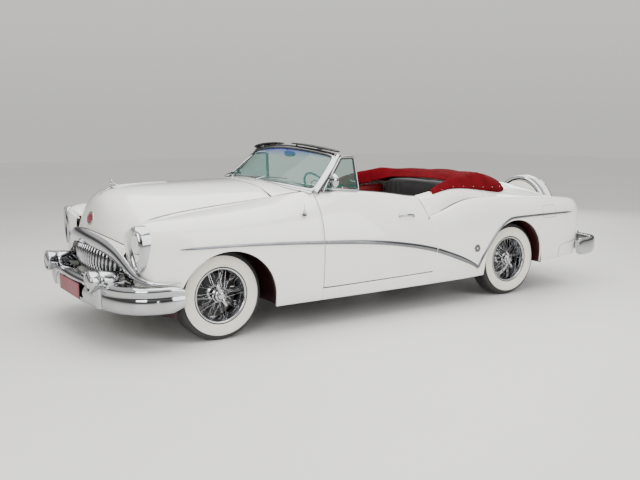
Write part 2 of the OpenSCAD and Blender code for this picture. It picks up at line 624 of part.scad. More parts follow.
color("silver") mirror([0, 1, 0]) place(rear_axle_x,  // wheel_rear_right
    half_track) wheel();
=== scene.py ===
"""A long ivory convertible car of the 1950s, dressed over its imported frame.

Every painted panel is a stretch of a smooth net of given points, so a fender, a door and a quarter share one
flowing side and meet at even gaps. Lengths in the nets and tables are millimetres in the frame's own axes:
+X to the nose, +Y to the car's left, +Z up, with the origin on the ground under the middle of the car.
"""

import logging
from dataclasses import dataclass, field
from enum import Enum
from typing import Callable, Iterable, Optional, Sequence

import bpy
import numpy as np
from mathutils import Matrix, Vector

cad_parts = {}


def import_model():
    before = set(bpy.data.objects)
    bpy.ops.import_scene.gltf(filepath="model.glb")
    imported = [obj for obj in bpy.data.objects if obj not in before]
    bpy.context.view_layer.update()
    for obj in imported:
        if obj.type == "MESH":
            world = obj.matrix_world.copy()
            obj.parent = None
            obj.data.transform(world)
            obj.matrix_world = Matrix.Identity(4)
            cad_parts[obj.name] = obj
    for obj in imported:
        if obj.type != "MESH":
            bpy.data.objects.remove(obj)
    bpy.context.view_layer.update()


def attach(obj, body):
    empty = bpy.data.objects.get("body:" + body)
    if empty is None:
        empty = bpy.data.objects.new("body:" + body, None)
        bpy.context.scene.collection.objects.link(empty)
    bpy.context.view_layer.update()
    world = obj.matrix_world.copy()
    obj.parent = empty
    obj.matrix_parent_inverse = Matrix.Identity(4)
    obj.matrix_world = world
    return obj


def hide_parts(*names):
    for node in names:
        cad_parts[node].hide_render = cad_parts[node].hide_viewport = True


LOG = logging.getLogger("convertible")
MM = 0.001
Array = np.ndarray
SIDES = ((1.0, "left"), (-1.0, "right"))


# ---------------------------------------------------------------- surfaces


def spline_weights(t: Array) -> Array:
    """The four weights of a uniform cubic B-spline at the share t of a span.

    Args:
        t: shares from 0 to 1.

    Returns:
        An array with one more axis, of length 4.
    """
    return np.stack(
        [(1 - t) ** 3, 3 * t**3 - 6 * t**2 + 4, -3 * t**3 + 3 * t**2 + 3 * t + 1, t**3], -1
    ) / 6.0


class Net:
    """A smooth surface near a net of points: a bicubic B-spline whose control points are 8/6 of a net point less a
    sixth of its two neighbours, first along the rows and then along the columns. Past an end it runs on straight,
    and a mirrored net runs on into its own reflection at y = 0."""

    def __init__(self, rows: Sequence, mirrored: bool = False) -> None:
        """Args:
        rows: stations of points, in millimetres.
        mirrored: True if the first point of each station lies on the centre plane.
        """
        net = np.array(rows, float) * MM
        self.mirrored = mirrored
        self.size = net.shape[:2]
        net = self._filtered(net, False)
        net = np.swapaxes(self._filtered(np.swapaxes(net, 0, 1), mirrored), 0, 1)
        self.control = net

    @staticmethod
    def _filtered(p: Array, mirrored: bool) -> Array:
        """Turns net points into control points along the first axis, with one more row at each end.

        Args:
            p: points, first axis along the spline.
            mirrored: True to reflect in y at the start.

        Returns:
            The control points, two rows longer.
        """
        flip = np.array([1.0, -1.0, 1.0])
        q = p.copy()
        q[1:-1] = (8 * p[1:-1] - p[:-2] - p[2:]) / 6
        if mirrored:
            q[0] = (8 * p[0] - p[1] - p[1] * flip) / 6
        first = q[1] * flip if mirrored else 2 * q[0] - q[1]
        return np.concatenate([first[None], q, (2 * q[-1] - q[-2])[None]])

    def at(self, u: Array, v: Array) -> Array:
        """Points at the stations u and rows v, which broadcast; a negative v of a mirrored net is the far side.

        Args:
            u: places along the stations.
            v: places along the rows.

        Returns:
            An array of points in metres.
        """
        u, v = np.broadcast_arrays(np.asarray(u, float), np.asarray(v, float))
        side = np.where(v < 0, -1.0, 1.0)
        w = np.abs(v) if self.mirrored else v
        i = np.clip(np.floor(u), 0, self.size[0] - 2).astype(int)
        j = np.clip(np.floor(w), 0, self.size[1] - 2).astype(int)
        a, b = spline_weights(u - i), spline_weights(w - j)
        out = sum(
            (a[..., k] * b[..., m])[..., None] * self.control[i + k, j + m] for k in range(4) for m in range(4)
        )
        if self.mirrored:
            out = out * np.stack([np.ones_like(side), side, np.ones_like(side)], -1)
        return out

    def normal(self, u: Array, v: Array) -> Array:
        """Unit normals, by central differences, on the outer side of the panel.

        Args:
            u: stations.
            v: rows.

        Returns:
            The normals, (n, 3).
        """
        d = 0.02
        du = self.at(u + d, v) - self.at(u - d, v)
        dv = self.at(u, v + d) - self.at(u, v - d)
        n = np.cross(dv, du)
        return n / np.maximum(np.linalg.norm(n, axis=-1, keepdims=True), 1e-12)

    def find(self, a: Array, b: Array, axes: tuple[int, int] = (0, 2), low: float = 1.0) -> tuple[Array, Array]:
        """Net places whose two named coordinates are a and b, by Newton's method from the nearest sample.

        Args:
            a: wanted first coordinates, in metres.
            b: wanted second coordinates, in metres.
            axes: which coordinates they are.
            low: the lowest row looked at, which keeps to the outer side of a crown.

        Returns:
            The stations u and rows v.
        """
        a, b = np.broadcast_arrays(np.asarray(a, float), np.asarray(b, float))
        su, sv = np.meshgrid(np.linspace(0, self.size[0] - 1, 80), np.linspace(low, self.size[1] - 1, 60))
        sample = self.at(su, sv)[..., list(axes)].reshape(-1, 2)
        want = np.stack([a, b], -1)
        best = np.argmin(((want.reshape(-1, 1, 2) - sample[None]) ** 2).sum(-1), 1).reshape(a.shape)
        u, v = su.ravel()[best], sv.ravel()[best]
        d = 1e-3
        for _ in range(12):
            miss = want - self.at(u, v)[..., list(axes)]
            ju = (self.at(u + d, v) - self.at(u - d, v))[..., list(axes)] / (2 * d)
            jv = (self.at(u, v + d) - self.at(u, v - d))[..., list(axes)] / (2 * d)
            det = ju[..., 0] * jv[..., 1] - ju[..., 1] * jv[..., 0]
            det = np.where(np.abs(det) < 1e-9, 1e-9, det)
            u = u + np.clip((miss[..., 0] * jv[..., 1] - miss[..., 1] * jv[..., 0]) / det, -0.5, 0.5)
            v = v + np.clip((ju[..., 0] * miss[..., 1] - ju[..., 1] * miss[..., 0]) / det, -0.5, 0.5)
        return u, v


def smooth_path(points: Sequence, count: int) -> Array:
    """A smooth curve near given points (the same B-spline as a net's), evenly spaced by length.

    Args:
        points: places of any width, in millimetres.
        count: how many places the result has.

    Returns:
        An array of count places, in metres.
    """
    p = np.array(points, float) * MM
    q = p.copy()
    q[1:-1] = (8 * p[1:-1] - p[:-2] - p[2:]) / 6
    q = np.concatenate([(2 * q[0] - q[1])[None], q, (2 * q[-1] - q[-2])[None]])
    t = np.linspace(0, len(p) - 1, 40 * len(p))
    i = np.clip(np.floor(t), 0, len(p) - 2).astype(int)
    w = spline_weights(t - i)
    fine = sum(w[:, k, None] * q[i + k] for k in range(4))
    run = np.concatenate([[0], np.cumsum(np.linalg.norm(np.diff(fine, axis=0), axis=1))])
    at = np.linspace(0, run[-1], count)
    return np.stack([np.interp(at, run, fine[:, k]) for k in range(fine.shape[1])], -1)


# ---------------------------------------------------------------- shapes


@dataclass
class Shape:
    """Points with blocks of faces, each block with the number of its finish."""

    points: Array
    blocks: list[tuple[Array, int]] = field(default_factory=list)

    def __add__(self, other: "Shape") -> "Shape":
        """Both shapes as one, without joining their points."""
        n = len(self.points)
        return Shape(
            np.concatenate([self.points, other.points]), self.blocks + [(f + n, k) for f, k in other.blocks]
        )

    def mapped(self, rule: Callable[[Array], Array], flip: bool = False) -> "Shape":
        """The shape with a rule applied to its points, its faces turned round if flip is set."""
        return Shape(rule(self.points), [(f[:, ::-1] if flip else f, k) for f, k in self.blocks])

    def moved(self, x: float = 0, y: float = 0, z: float = 0) -> "Shape":
        """The shape shifted by metres."""
        return self.mapped(lambda p: p + np.array([x, y, z]))

    def turned(self, axes: Array) -> "Shape":
        """The shape with its x, y and z carried to the rows of axes."""
        return self.mapped(lambda p: p @ np.asarray(axes, float))

    def mirrored(self) -> "Shape":
        """The other side's copy, with its faces still outward."""
        return self.mapped(lambda p: p * np.array([1.0, -1.0, 1.0]), flip=True)

    def sided(self, side: float) -> "Shape":
        """The shape itself for the left side (+1), or its mirror image for the right (-1)."""
        return self if side > 0 else self.mirrored()

    def finished(self, number: int) -> "Shape":
        """The shape with one finish number on every face."""
        return Shape(self.points, [(f, number) for f, _ in self.blocks])


def joined(shapes: Iterable[Shape]) -> Shape:
    """All the shapes as one, without joining their points.

    Args:
        shapes: the shapes.

    Returns:
        The joined shape.
    """
    shapes = list(shapes)
    out = shapes[0]
    for s in shapes[1:]:
        out = out + s
    return out


def grid_faces(n: int, m: int, round_n: bool = False, round_m: bool = False) -> Array:
    """The quads of an n by m grid of points, closed round on itself along either way.

    Args:
        n: rows of points.
        m: points in a row.
        round_n: True if the last row meets the first.
        round_m: True if each row is a ring.

    Returns:
        An array of quads, outward where (row step) x (point step) points outward.
    """
    i, j = np.meshgrid(np.arange(n if round_n else n - 1), np.arange(m if round_m else m - 1), indexing="ij")
    i2, j2 = (i + 1) % n, (j + 1) % m
    return np.stack([i * m + j, i2 * m + j, i2 * m + j2, i * m + j2], -1).reshape(-1, 4)


def surface(grid: Array, flip: bool = False, finish: int = 0) -> Shape:
    """An open surface from an n by m grid of points.

    Args:
        grid: the points.
        flip: turns the faces round.
        finish: the finish number.

    Returns:
        The surface.
    """
    n, m = grid.shape[:2]
    faces = grid_faces(n, m)
    return Shape(grid.reshape(-1, 3), [(faces[:, ::-1] if flip else faces, finish)])


def tube(rings: Array, caps: bool = True, closed: bool = False, finish: int = 0) -> Shape:
    """A closed skin over rings of points, each ring anticlockwise seen from ahead of the run.

    Args:
        rings: n rings of m points.
        caps: True for a fan on each end.
        closed: True if the last ring meets the first.
        finish: the finish number.

    Returns:
        The skin, facing outward.
    """
    n, m = rings.shape[:2]
    points = rings.reshape(-1, 3)
    blocks = [(grid_faces(n, m, closed, True)[:, ::-1], finish)]
    if caps and not closed:
        ends = np.stack([rings[0].mean(0), rings[-1].mean(0)])
        k = np.arange(m)
        a, b = n * m, n * m + 1
        first = np.stack([np.full(m, a), (k + 1) % m, k], -1)
        last = np.stack([np.full(m, b), (n - 1) * m + k, (n - 1) * m + (k + 1) % m], -1)
        points = np.concatenate([points, ends])
        blocks += [(first, finish), (last, finish)]
    return Shape(points, blocks)


def carried(path: Array, section: Array, up: Optional[Array] = None, closed: bool = False, caps: bool = True,
            finish: int = 0) -> Shape:
    """A section carried along a path: each ring is path + sideways * x + upward * y, where upward is the given
    direction squared off against the run, and sideways = upward x run, so +Y on a path along +X.

    Args:
        path: n points.
        section: m points of (x, y), anticlockwise, or n sets of them.
        up: a direction for every point or for all; +Z if left out.
        closed: True if the path is a ring.
        caps: True to close the ends.
        finish: the finish number.

    Returns:
        The closed skin.
    """
    run = np.gradient(path, axis=0)
    if closed:
        run = np.roll(path, -1, 0) - np.roll(path, 1, 0)
    run = run / np.linalg.norm(run, axis=1, keepdims=True)
    up = np.broadcast_to(np.array([0.0, 0.0, 1.0]) if up is None else np.asarray(up, float), path.shape)
    side = np.cross(up, run)
    side = side / np.maximum(np.linalg.norm(side, axis=1, keepdims=True), 1e-9)
    top = np.cross(run, side)
    section = np.broadcast_to(section, (len(path),) + section.shape[-2:])
    rings = path[:, None] + side[:, None] * section[..., :1] + top[:, None] * section[..., 1:]
    return tube(rings, caps, closed, finish)


def oval(rx: float, ry: float, count: int = 12, power: float = 2.0) -> Array:
    """A closed superellipse |x/rx|^power + |y/ry|^power = 1, anticlockwise.

    Args:
        rx: half its width.
        ry: half its height.
        count: how many points.
        power: 2 for an ellipse, more for a squarer one.

    Returns:
        The points, (count, 2).
    """
    a = np.linspace(0, 2 * np.pi, count, endpoint=False)
    c, s = np.cos(a), np.sin(a)
    return np.stack([rx * np.sign(c) * np.abs(c) ** (2 / power), ry * np.sign(s) * np.abs(s) ** (2 / power)], -1)


def rod(a: Sequence, b: Sequence, radius: float, count: int = 10, finish: int = 0) -> Shape:
    """A round bar from a to b, in metres, with slightly domed ends.

    Args:
        a: one end.
        b: the other end.
        radius: its radius.
        count: how many sides.
        finish: the finish number.

    Returns:
        The bar.
    """
    a, b = np.array(a, float), np.array(b, float)
    run = (b - a) / np.linalg.norm(b - a)
    r = radius * np.array([0.55, 0.9, 1, 1, 0.9, 0.55])
    length = np.linalg.norm(b - a)
    along = np.array([0, 0.35 * radius, radius, length - radius, length - 0.35 * radius, length])
    along = np.clip(along, 0, length)
    other = np.array([0.0, 0.0, 1.0]) if abs(run[2]) < 0.9 else np.array([1.0, 0.0, 0.0])
    side = np.cross(other, run)
    side /= np.linalg.norm(side)
    top = np.cross(run, side)
    ring = oval(1, 1, count)
    rings = (a + run * along[:, None])[:, None] + r[:, None, None] * (
        ring[None, :, :1] * side + ring[None, :, 1:] * top
    )
    return tube(rings, finish=finish)


def lathe(profile: Sequence, count: int, finish: object = 0, closed: bool = False) -> Shape:
    """A profile of (radius, height) turned round +Z; a profile that starts and ends on the axis makes a solid.

    Args:
        profile: places in metres, going up the outside.
        count: how many places there are round the axis.
        finish: the finish number, or one for each step of the profile.
        closed: True if the profile is a loop of its own, as a tyre's is.

    Returns:
        The skin, facing outward.
    """
    p = np.array(profile, float)
    n = len(p)
    a = np.linspace(0, 2 * np.pi, count, endpoint=False)
    grid = np.stack([p[:, None, 0] * np.cos(a), p[:, None, 0] * np.sin(a), np.broadcast_to(p[:, None, 1], (n, count))],
                    -1)
    steps = n if closed else n - 1
    faces = grid_faces(n, count, closed, True)[:, ::-1].reshape(steps, count, 4)
    numbers = np.broadcast_to(np.asarray(finish), (steps,))
    blocks = [(faces[numbers == k].reshape(-1, 4), int(k)) for k in np.unique(numbers)]
    points = grid.reshape(-1, 3)
    for row in (0, n - 1):
        if not closed and p[row, 0] == 0:
            points[row * count:(row + 1) * count] = (0, 0, p[row, 1])
    return Shape(points, blocks)


def block(low: Sequence, high: Sequence, finish: int = 0) -> Shape:
    """A box between two corners in metres, whose edges a bevel rounds later.

    Args:
        low: the lowest corner.
        high: the highest corner.
        finish: the finish number.

    Returns:
        The box.
    """
    lo, hi = np.array(low, float), np.array(high, float)
    corner = np.array([[i, j, k] for i in (0, 1) for j in (0, 1) for k in (0, 1)])
    faces = np.array([[0, 1, 3, 2], [4, 6, 7, 5], [0, 4, 5, 1], [2, 3, 7, 6], [0, 2, 6, 4], [1, 5, 7, 3]])
    return Shape(lo + corner * (hi - lo), [(faces, finish)])


def slab(outline: Array, thickness: float, finish: int = 0) -> Shape:
    """A flat convex outline of (x, y), anticlockwise, given a thickness along +Z, with each face a fan.

    Args:
        outline: the points, in metres.
        thickness: how thick.
        finish: the finish number.

    Returns:
        The slab.
    """
    m = len(outline)
    low = np.concatenate([outline, np.zeros((m, 1))], 1)
    return tube(np.stack([low, low + np.array([0, 0, thickness])]), finish=finish)


# frames that carry a lathe's +Z to another axis, as rows for Shape.turned
TO_X = np.array([[0.0, 1.0, 0.0], [0.0, 0.0, 1.0], [1.0, 0.0, 0.0]])
TO_Y = np.array([[0.0, 0.0, 1.0], [1.0, 0.0, 0.0], [0.0, 1.0, 0.0]])


def tilted(axis: Sequence, up: Sequence = (0.0, 0.0, 1.0)) -> Array:
    """Rows for Shape.turned that carry +Z to the axis and +Y as near as can be to up.

    Args:
        axis: where +Z goes.
        up: where +Y leans.

    Returns:
        The rows.
    """
    z = np.array(axis, float) / np.linalg.norm(axis)
    x = np.cross(np.array(up, float), z)
    x /= np.linalg.norm(x)
    return np.stack([x, np.cross(z, x), z])


# ---------------------------------------------------------------- finishes


class Grain(Enum):
    """What gives a finish its fine relief."""

    SMOOTH = "smooth"
    LEATHER = "leather"
    WEAVE = "weave"
    CAST = "cast"
    PILE = "pile"


@dataclass(frozen=True)
class Finish:
    """One surface finish: two close tints mixed by a cloudy noise, a roughness that varies, and a fine relief."""

    name: str
    colour: tuple[float, float, float]
    tint: tuple[float, float, float]
    roughness: float
    metallic: float = 0.0
    coat: float = 0.0
    sheen: float = 0.0
    specular: float = 0.5
    grain: Grain = Grain.SMOOTH
    cloud: float = 3.0
    relief: float = 0.0
    relief_scale: float = 400.0
    wear: float = 0.04

    def made(self) -> bpy.types.Material:
        """The Blender material, made once.

        Returns:
            The material.
        """
        known = bpy.data.materials.get(self.name)
        if known:
            return known
        mat = bpy.data.materials.new(self.name)
        mat.use_nodes = True
        nodes, links = mat.node_tree.nodes, mat.node_tree.links
        shader = nodes["Principled BSDF"]
        shader.inputs["Metallic"].default_value = self.metallic
        shader.inputs["Coat Weight"].default_value = self.coat
        shader.inputs["Coat Roughness"].default_value = 0.03
        shader.inputs["Sheen Weight"].default_value = self.sheen
        shader.inputs["Specular IOR Level"].default_value = self.specular
        place = nodes.new("ShaderNodeTexCoord")
        cloud = nodes.new("ShaderNodeTexNoise")
        cloud.inputs["Scale"].default_value = self.cloud
        cloud.inputs["Detail"].default_value = 4
        links.new(place.outputs["Object"], cloud.inputs["Vector"])
        ramp = nodes.new("ShaderNodeValToRGB")
        ramp.color_ramp.elements[0].position = 0.35
        ramp.color_ramp.elements[1].position = 0.65
        ramp.color_ramp.elements[0].color = (*self.colour, 1)
        ramp.color_ramp.elements[1].color = (*self.tint, 1)
        links.new(cloud.outputs["Fac"], ramp.inputs["Fac"])
        links.new(ramp.outputs["Color"], shader.inputs["Base Color"])
        spread = nodes.new("ShaderNodeMapRange")
        spread.inputs["To Min"].default_value = max(0.0, self.roughness - self.wear)
        spread.inputs["To Max"].default_value = self.roughness + self.wear
        links.new(cloud.outputs["Fac"], spread.inputs["Value"])
        links.new(spread.outputs["Result"], shader.inputs["Roughness"])
        if self.relief:
            self._relief(mat, place.outputs["Object"], shader)
        return mat

    def _relief(self, mat: bpy.types.Material, place: bpy.types.NodeSocket, shader: bpy.types.Node) -> None:
        """Adds the grain's relief to the shader.

        Args:
            mat: the material.
            place: the object coordinates.
            shader: the surface shader.
        """
        nodes, links = mat.node_tree.nodes, mat.node_tree.links
        bump = nodes.new("ShaderNodeBump")
        bump.inputs["Strength"].default_value = self.relief
        bump.inputs["Distance"].default_value = 0.002
        if self.grain is Grain.LEATHER:
            cell = nodes.new("ShaderNodeTexVoronoi")
            cell.inputs["Scale"].default_value = self.relief_scale
            links.new(place, cell.inputs["Vector"])
            height = cell.outputs["Distance"]
        elif self.grain is Grain.WEAVE:
            waves = []
            for direction in ("X", "Y"):
                wave = nodes.new("ShaderNodeTexWave")
                wave.bands_direction = direction
                wave.inputs["Scale"].default_value = self.relief_scale
                wave.inputs["Distortion"].default_value = 0.6
                links.new(place, wave.inputs["Vector"])
                waves.append(wave)
            both = nodes.new("ShaderNodeMath")
            both.operation = "ADD"
            links.new(waves[0].outputs["Fac"], both.inputs[0])
            links.new(waves[1].outputs["Fac"], both.inputs[1])
            height = both.outputs["Value"]
        else:
            fine = nodes.new("ShaderNodeTexNoise")
            fine.inputs["Scale"].default_value = self.relief_scale
            fine.inputs["Detail"].default_value = 6
            links.new(place, fine.inputs["Vector"])
            height = fine.outputs["Fac"]
        links.new(height, bump.inputs["Height"])
        links.new(bump.outputs["Normal"], shader.inputs["Normal"])


@dataclass(frozen=True)
class GlassFinish:
    """Clear glass that lets light straight through, with gloss by angle, and an optional blue band near the top."""

    name: str
    colour: tuple[float, float, float]
    band: Optional[tuple[float, float, float]] = None
    band_from: float = 1.36
    band_to: float = 1.43
    gloss: float = 0.12

    def made(self) -> bpy.types.Material:
        """The Blender material, made once.

        Returns:
            The material.
        """
        known = bpy.data.materials.get(self.name)
        if known:
            return known
        mat = bpy.data.materials.new(self.name)
        mat.use_nodes = True
        nodes, links = mat.node_tree.nodes, mat.node_tree.links
        shader = nodes["Principled BSDF"]
        shader.inputs["Roughness"].default_value = 0.02
        shader.inputs["IOR"].default_value = 1.45
        place = nodes.new("ShaderNodeTexCoord")
        noise = nodes.new("ShaderNodeTexNoise")
        noise.inputs["Scale"].default_value = 6
        links.new(place.outputs["Object"], noise.inputs["Vector"])
        haze = nodes.new("ShaderNodeMapRange")
        haze.inputs["To Min"].default_value = 0.22
        haze.inputs["To Max"].default_value = 0.25
        links.new(noise.outputs["Fac"], haze.inputs["Value"])
        split = nodes.new("ShaderNodeSeparateXYZ")
        links.new(place.outputs["Object"], split.inputs["Vector"])
        rise = nodes.new("ShaderNodeMapRange")
        rise.inputs["From Min"].default_value = self.band_from
        rise.inputs["From Max"].default_value = self.band_to
        links.new(split.outputs["Z"], rise.inputs["Value"])
        tint = nodes.new("ShaderNodeValToRGB")
        tint.color_ramp.elements[0].color = (*self.colour, 1)
        tint.color_ramp.elements[1].color = (*(self.band or self.colour), 1)
        links.new(rise.outputs["Result"], tint.inputs["Fac"])
        links.new(tint.outputs["Color"], shader.inputs["Base Color"])
        deep = nodes.new("ShaderNodeMath")
        deep.operation = "MULTIPLY_ADD"
        deep.inputs[1].default_value = 0.36 if self.band else 0.0
        links.new(rise.outputs["Result"], deep.inputs[0])
        links.new(haze.outputs["Result"], deep.inputs[2])
        links.new(deep.outputs["Value"], shader.inputs["Alpha"])
        mat.surface_render_method = "BLENDED"
        return mat


IVORY = Finish("ivory_paint", (0.82, 0.815, 0.765), (0.795, 0.79, 0.74), 0.22, coat=1.0, relief=0.012,
               relief_scale=900, wear=0.03)
CHROME = Finish("bright_chrome", (0.50, 0.505, 0.515), (0.43, 0.435, 0.45), 0.05, metallic=1.0, cloud=5, relief=0.01,
                relief_scale=60, wear=0.03)
# Darker copy of the chrome for the side spear and its kick-up: painted dark reflection, for the dark surroundings that
# the sideways trim mirrors.
SHADED_TRIM_CHROME = Finish("chrome_with_painted_dark_reflection", (0.22, 0.225, 0.24), (0.17, 0.175, 0.19), 0.12, metallic=1.0, cloud=5,
                     relief=0.01, relief_scale=60, wear=0.03)
OXBLOOD = Finish("oxblood_paint", (0.030, 0.002, 0.003), (0.020, 0.0015, 0.002), 0.45, relief=0.06, grain=Grain.CAST,
                 relief_scale=300)
CANVAS = Finish("red_canvas", (0.115, 0.0028, 0.0060), (0.088, 0.0020, 0.0045), 0.96, specular=0.06, grain=Grain.WEAVE,
                relief=0.22, relief_scale=260, cloud=9)
RED_LEATHER = Finish("red_leather", (0.26, 0.010, 0.012), (0.20, 0.008, 0.010), 0.42, grain=Grain.LEATHER,
                     relief=0.16, relief_scale=420, cloud=12)
BLACK_TRIM = Finish("black_trim", (0.006, 0.006, 0.0065), (0.010, 0.010, 0.0105), 0.62, grain=Grain.LEATHER,
                    relief=0.18, relief_scale=500)
CARPET = Finish("red_carpet", (0.11, 0.006, 0.008), (0.08, 0.005, 0.006), 0.95, sheen=0.4, grain=Grain.PILE,
                relief=0.8, relief_scale=700, cloud=30)
RUBBER = Finish("black_rubber", (0.018, 0.018, 0.018), (0.026, 0.025, 0.024), 0.72, grain=Grain.CAST, relief=0.15,
                relief_scale=500)
WHITE_RUBBER = Finish("white_rubber", (0.74, 0.71, 0.63), (0.68, 0.65, 0.57), 0.52, grain=Grain.CAST, relief=0.05,
                      relief_scale=400, cloud=8)
DARK_METAL = Finish("dark_metal", (0.02, 0.02, 0.022), (0.035, 0.034, 0.033), 0.5, metallic=0.2, grain=Grain.CAST,
                    relief=0.2, relief_scale=160)
IRON = Finish("cast_iron", (0.10, 0.14, 0.13), (0.07, 0.10, 0.095), 0.6, metallic=0.3, grain=Grain.CAST, relief=0.3,
              relief_scale=90)
STEEL = Finish("dull_steel", (0.30, 0.28, 0.26), (0.20, 0.17, 0.15), 0.45, metallic=1.0, grain=Grain.CAST,
               relief=0.2, relief_scale=120)
RED_DASH = Finish("red_dash_paint", (0.17, 0.006, 0.009), (0.14, 0.005, 0.008), 0.28, coat=0.8, relief=0.01)
RED_PLATE = Finish("red_plate", (0.24, 0.022, 0.04), (0.20, 0.018, 0.034), 0.4, relief=0.05, relief_scale=200)
RED_LENS = Finish("red_lens", (0.35, 0.004, 0.006), (0.28, 0.003, 0.005), 0.12, coat=1.0, relief=0.5,
                  relief_scale=260)
BLACK_GLOSS = Finish("black_gloss", (0.01, 0.01, 0.011), (0.016, 0.016, 0.017), 0.16, coat=0.6, relief=0.01)
REFLECTOR = Finish("lamp_reflector", (0.80, 0.80, 0.80), (0.62, 0.62, 0.63), 0.16, metallic=0.9, relief=0.35,
                   relief_scale=120)
GREEN_GLASS = GlassFinish("green_glass", (0.012, 0.17, 0.14), (0.004, 0.012, 0.30))
SIDE_GLASS = GlassFinish("side_glass", (0.012, 0.17, 0.14))
LENS = GlassFinish("clear_lens", (0.80, 0.84, 0.86))


def piece(name: str, shape: Shape, finishes: Sequence, body: str = "body", stands_for: Sequence[str] = (),
          slot: str = "", wall: float = 0.0, bevel: float = 0.0, smooth_angle: float = 40.0,
          subdivide: int = 0) -> bpy.types.Object:
    """Makes one finished piece and rides it on its body.

    Args:
        name: the piece's name.
        shape: its mesh.
        finishes: its finishes, in the order of the shape's finish numbers.
        body: the frame's body it moves with.
        stands_for: the frame's nodes it replaces.
        slot: the name of a material slot; not used.
        wall: if set, the thickness that an open surface is given, inward.
        bevel: if set, the radius of its edges.
        smooth_angle: edges sharper than this many degrees stay sharp.
        subdivide: levels of subdivision.

    Returns:
        The object.
    """
    mesh = bpy.data.meshes.new(name)
    mesh.vertices.add(len(shape.points))
    mesh.vertices.foreach_set("co", shape.points.astype(np.float32).ravel())
    loops = np.concatenate([f.ravel() for f, _ in shape.blocks]).astype(np.int32)
    counts = np.concatenate([np.full(len(f), f.shape[1]) for f, _ in shape.blocks]).astype(np.int32)
    slots = np.concatenate([np.full(len(f), k) for f, k in shape.blocks]).astype(np.int32)
    mesh.loops.add(len(loops))
    mesh.loops.foreach_set("vertex_index", loops)
    mesh.polygons.add(len(counts))
    mesh.polygons.foreach_set("loop_start", np.concatenate([[0], np.cumsum(counts)[:-1]]).astype(np.int32))
    mesh.polygons.foreach_set("material_index", slots)
    mesh.update(calc_edges=True)
    mesh.validate()
    for finish in finishes:
        mesh.materials.append(finish.made())
    obj = bpy.data.objects.new(name, mesh)
    bpy.context.scene.collection.objects.link(obj)
    mesh.shade_smooth()
    mesh.set_sharp_from_angle(angle=np.radians(smooth_angle))
    if wall:
        solid = obj.modifiers.new("wall", "SOLIDIFY")
        solid.thickness = wall
        solid.offset = -1
        solid.use_even_offset = False
    if bevel:
        edge = obj.modifiers.new("edge", "BEVEL")
        edge.width = bevel
        edge.segments = 2
        edge.limit_method = "ANGLE"
        edge.angle_limit = np.radians(50)
        edge.harden_normals = False
    if subdivide:
        sub = obj.modifiers.new("smooth", "SUBSURF")
        sub.levels = sub.render_levels = subdivide
    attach(obj, body)
    if stands_for:
        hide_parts(*stands_for)
    LOG.info("%s: %d points on %s", name, len(shape.points), body)
    return obj


# ---------------------------------------------------------------- the car's surfaces


def at_x(x: float, rows: Sequence) -> list:
    """A station of a net whose points all lie at one x."""
    return [[x, y, z] for y, z in rows]


SIDE = Net([
    [[2372, 604, 846], [2385, 606, 860], [2400, 610, 858], [2410, 614, 835], [2414, 618, 755],
        [2398, 622, 640], [2370, 625, 520], [2345, 625, 440]],
    [[2385, 660, 862], [2400, 700, 888], [2418, 735, 892], [2428, 752, 862], [2424, 760, 760],
        [2400, 755, 640], [2372, 748, 520], [2350, 745, 440]],
    [[2372, 624, 862], [2386, 660, 900], [2402, 770, 920], [2408, 830, 878], [2402, 855, 758],
        [2382, 855, 632], [2354, 846, 512], [2338, 840, 437]],
    [[2335, 614, 862], [2345, 622, 884], [2358, 790, 942], [2362, 880, 884], [2358, 908, 757],
        [2342, 908, 630], [2320, 899, 505], [2306, 893, 430]],
    at_x(2270, [[618, 893], [618, 915], [800, 957], [903, 892], [938, 760], [942, 625], [933, 495], [925, 420]]),
    at_x(2050, [[622, 950], [622, 972], [815, 972], [915, 905], [955, 770], [962, 615], [950, 450], [940, 330]]),
    at_x(1720, [[628, 988], [628, 1010], [818, 988], [925, 905], [970, 765], [975, 600], [960, 400], [940, 235]]),
    at_x(1300, [[640, 1030], [640, 1052], [822, 1018], [925, 925], [978, 765], [983, 580], [965, 340], [940, 232]]),
    at_x(895, [[772, 1095], [786, 1116], [872, 1030], [935, 915], [983, 755], [985, 560], [965, 323], [938, 230]]),
    at_x(480, [[770, 1092], [815, 1085], [885, 1005], [942, 890], [985, 730], [985, 540], [963, 330], [938, 231]]),
    at_x(100, [[770, 1055], [815, 1048], [885, 970], [942, 860], [983, 700], [983, 520], [960, 337], [938, 233]]),
    [[-195, 768, 1010], [-200, 812, 1003], [-215, 882, 925], [-240, 940, 822], [-300, 975, 690],
        [-319, 978, 520], [-285, 958, 345], [-270, 936, 235]],
    [[-430, 765, 1045], [-430, 800, 1040], [-445, 872, 955], [-470, 928, 880], [-520, 972, 740],
        [-560, 980, 540], [-540, 962, 350], [-520, 936, 238]]
])
REAR = Net([
    at_x(100, [[880, 880], [942, 860], [983, 700], [983, 520], [960, 337], [938, 233]]),
    [[-240, 900, 838], [-240, 940, 822], [-300, 975, 690], [-319, 978, 520], [-285, 958, 345], [-270, 936, 235]],
    at_x(-470, [[872, 888], [925, 882], [972, 740], [980, 540], [962, 350], [936, 238]]),
    at_x(-740, [[838, 952], [900, 963], [966, 830], [982, 600], [966, 400], [938, 242]]),
    at_x(-1080, [[800, 950], [885, 963], [962, 840], [978, 640], [966, 440], [940, 260]]),
    at_x(-1450, [[770, 936], [870, 953], [952, 840], [966, 650], [954, 460], [930, 290]]),
    at_x(-1850, [[745, 910], [850, 932], [932, 825], [942, 650], [930, 470], [908, 305]]),
    at_x(-2160, [[725, 885], [828, 906], [905, 812], [914, 660], [900, 480], [880, 320]]),
    [[-2290, 720, 868], [-2290, 802, 888], [-2292, 868, 800], [-2295, 876, 660], [-2290, 862, 490], [-2285, 845, 335]],
    [[-2338, 740, 830], [-2340, 770, 842], [-2345, 800, 780], [-2348, 805, 660], [-2342, 796, 510], [-2335, 785, 360]]
])
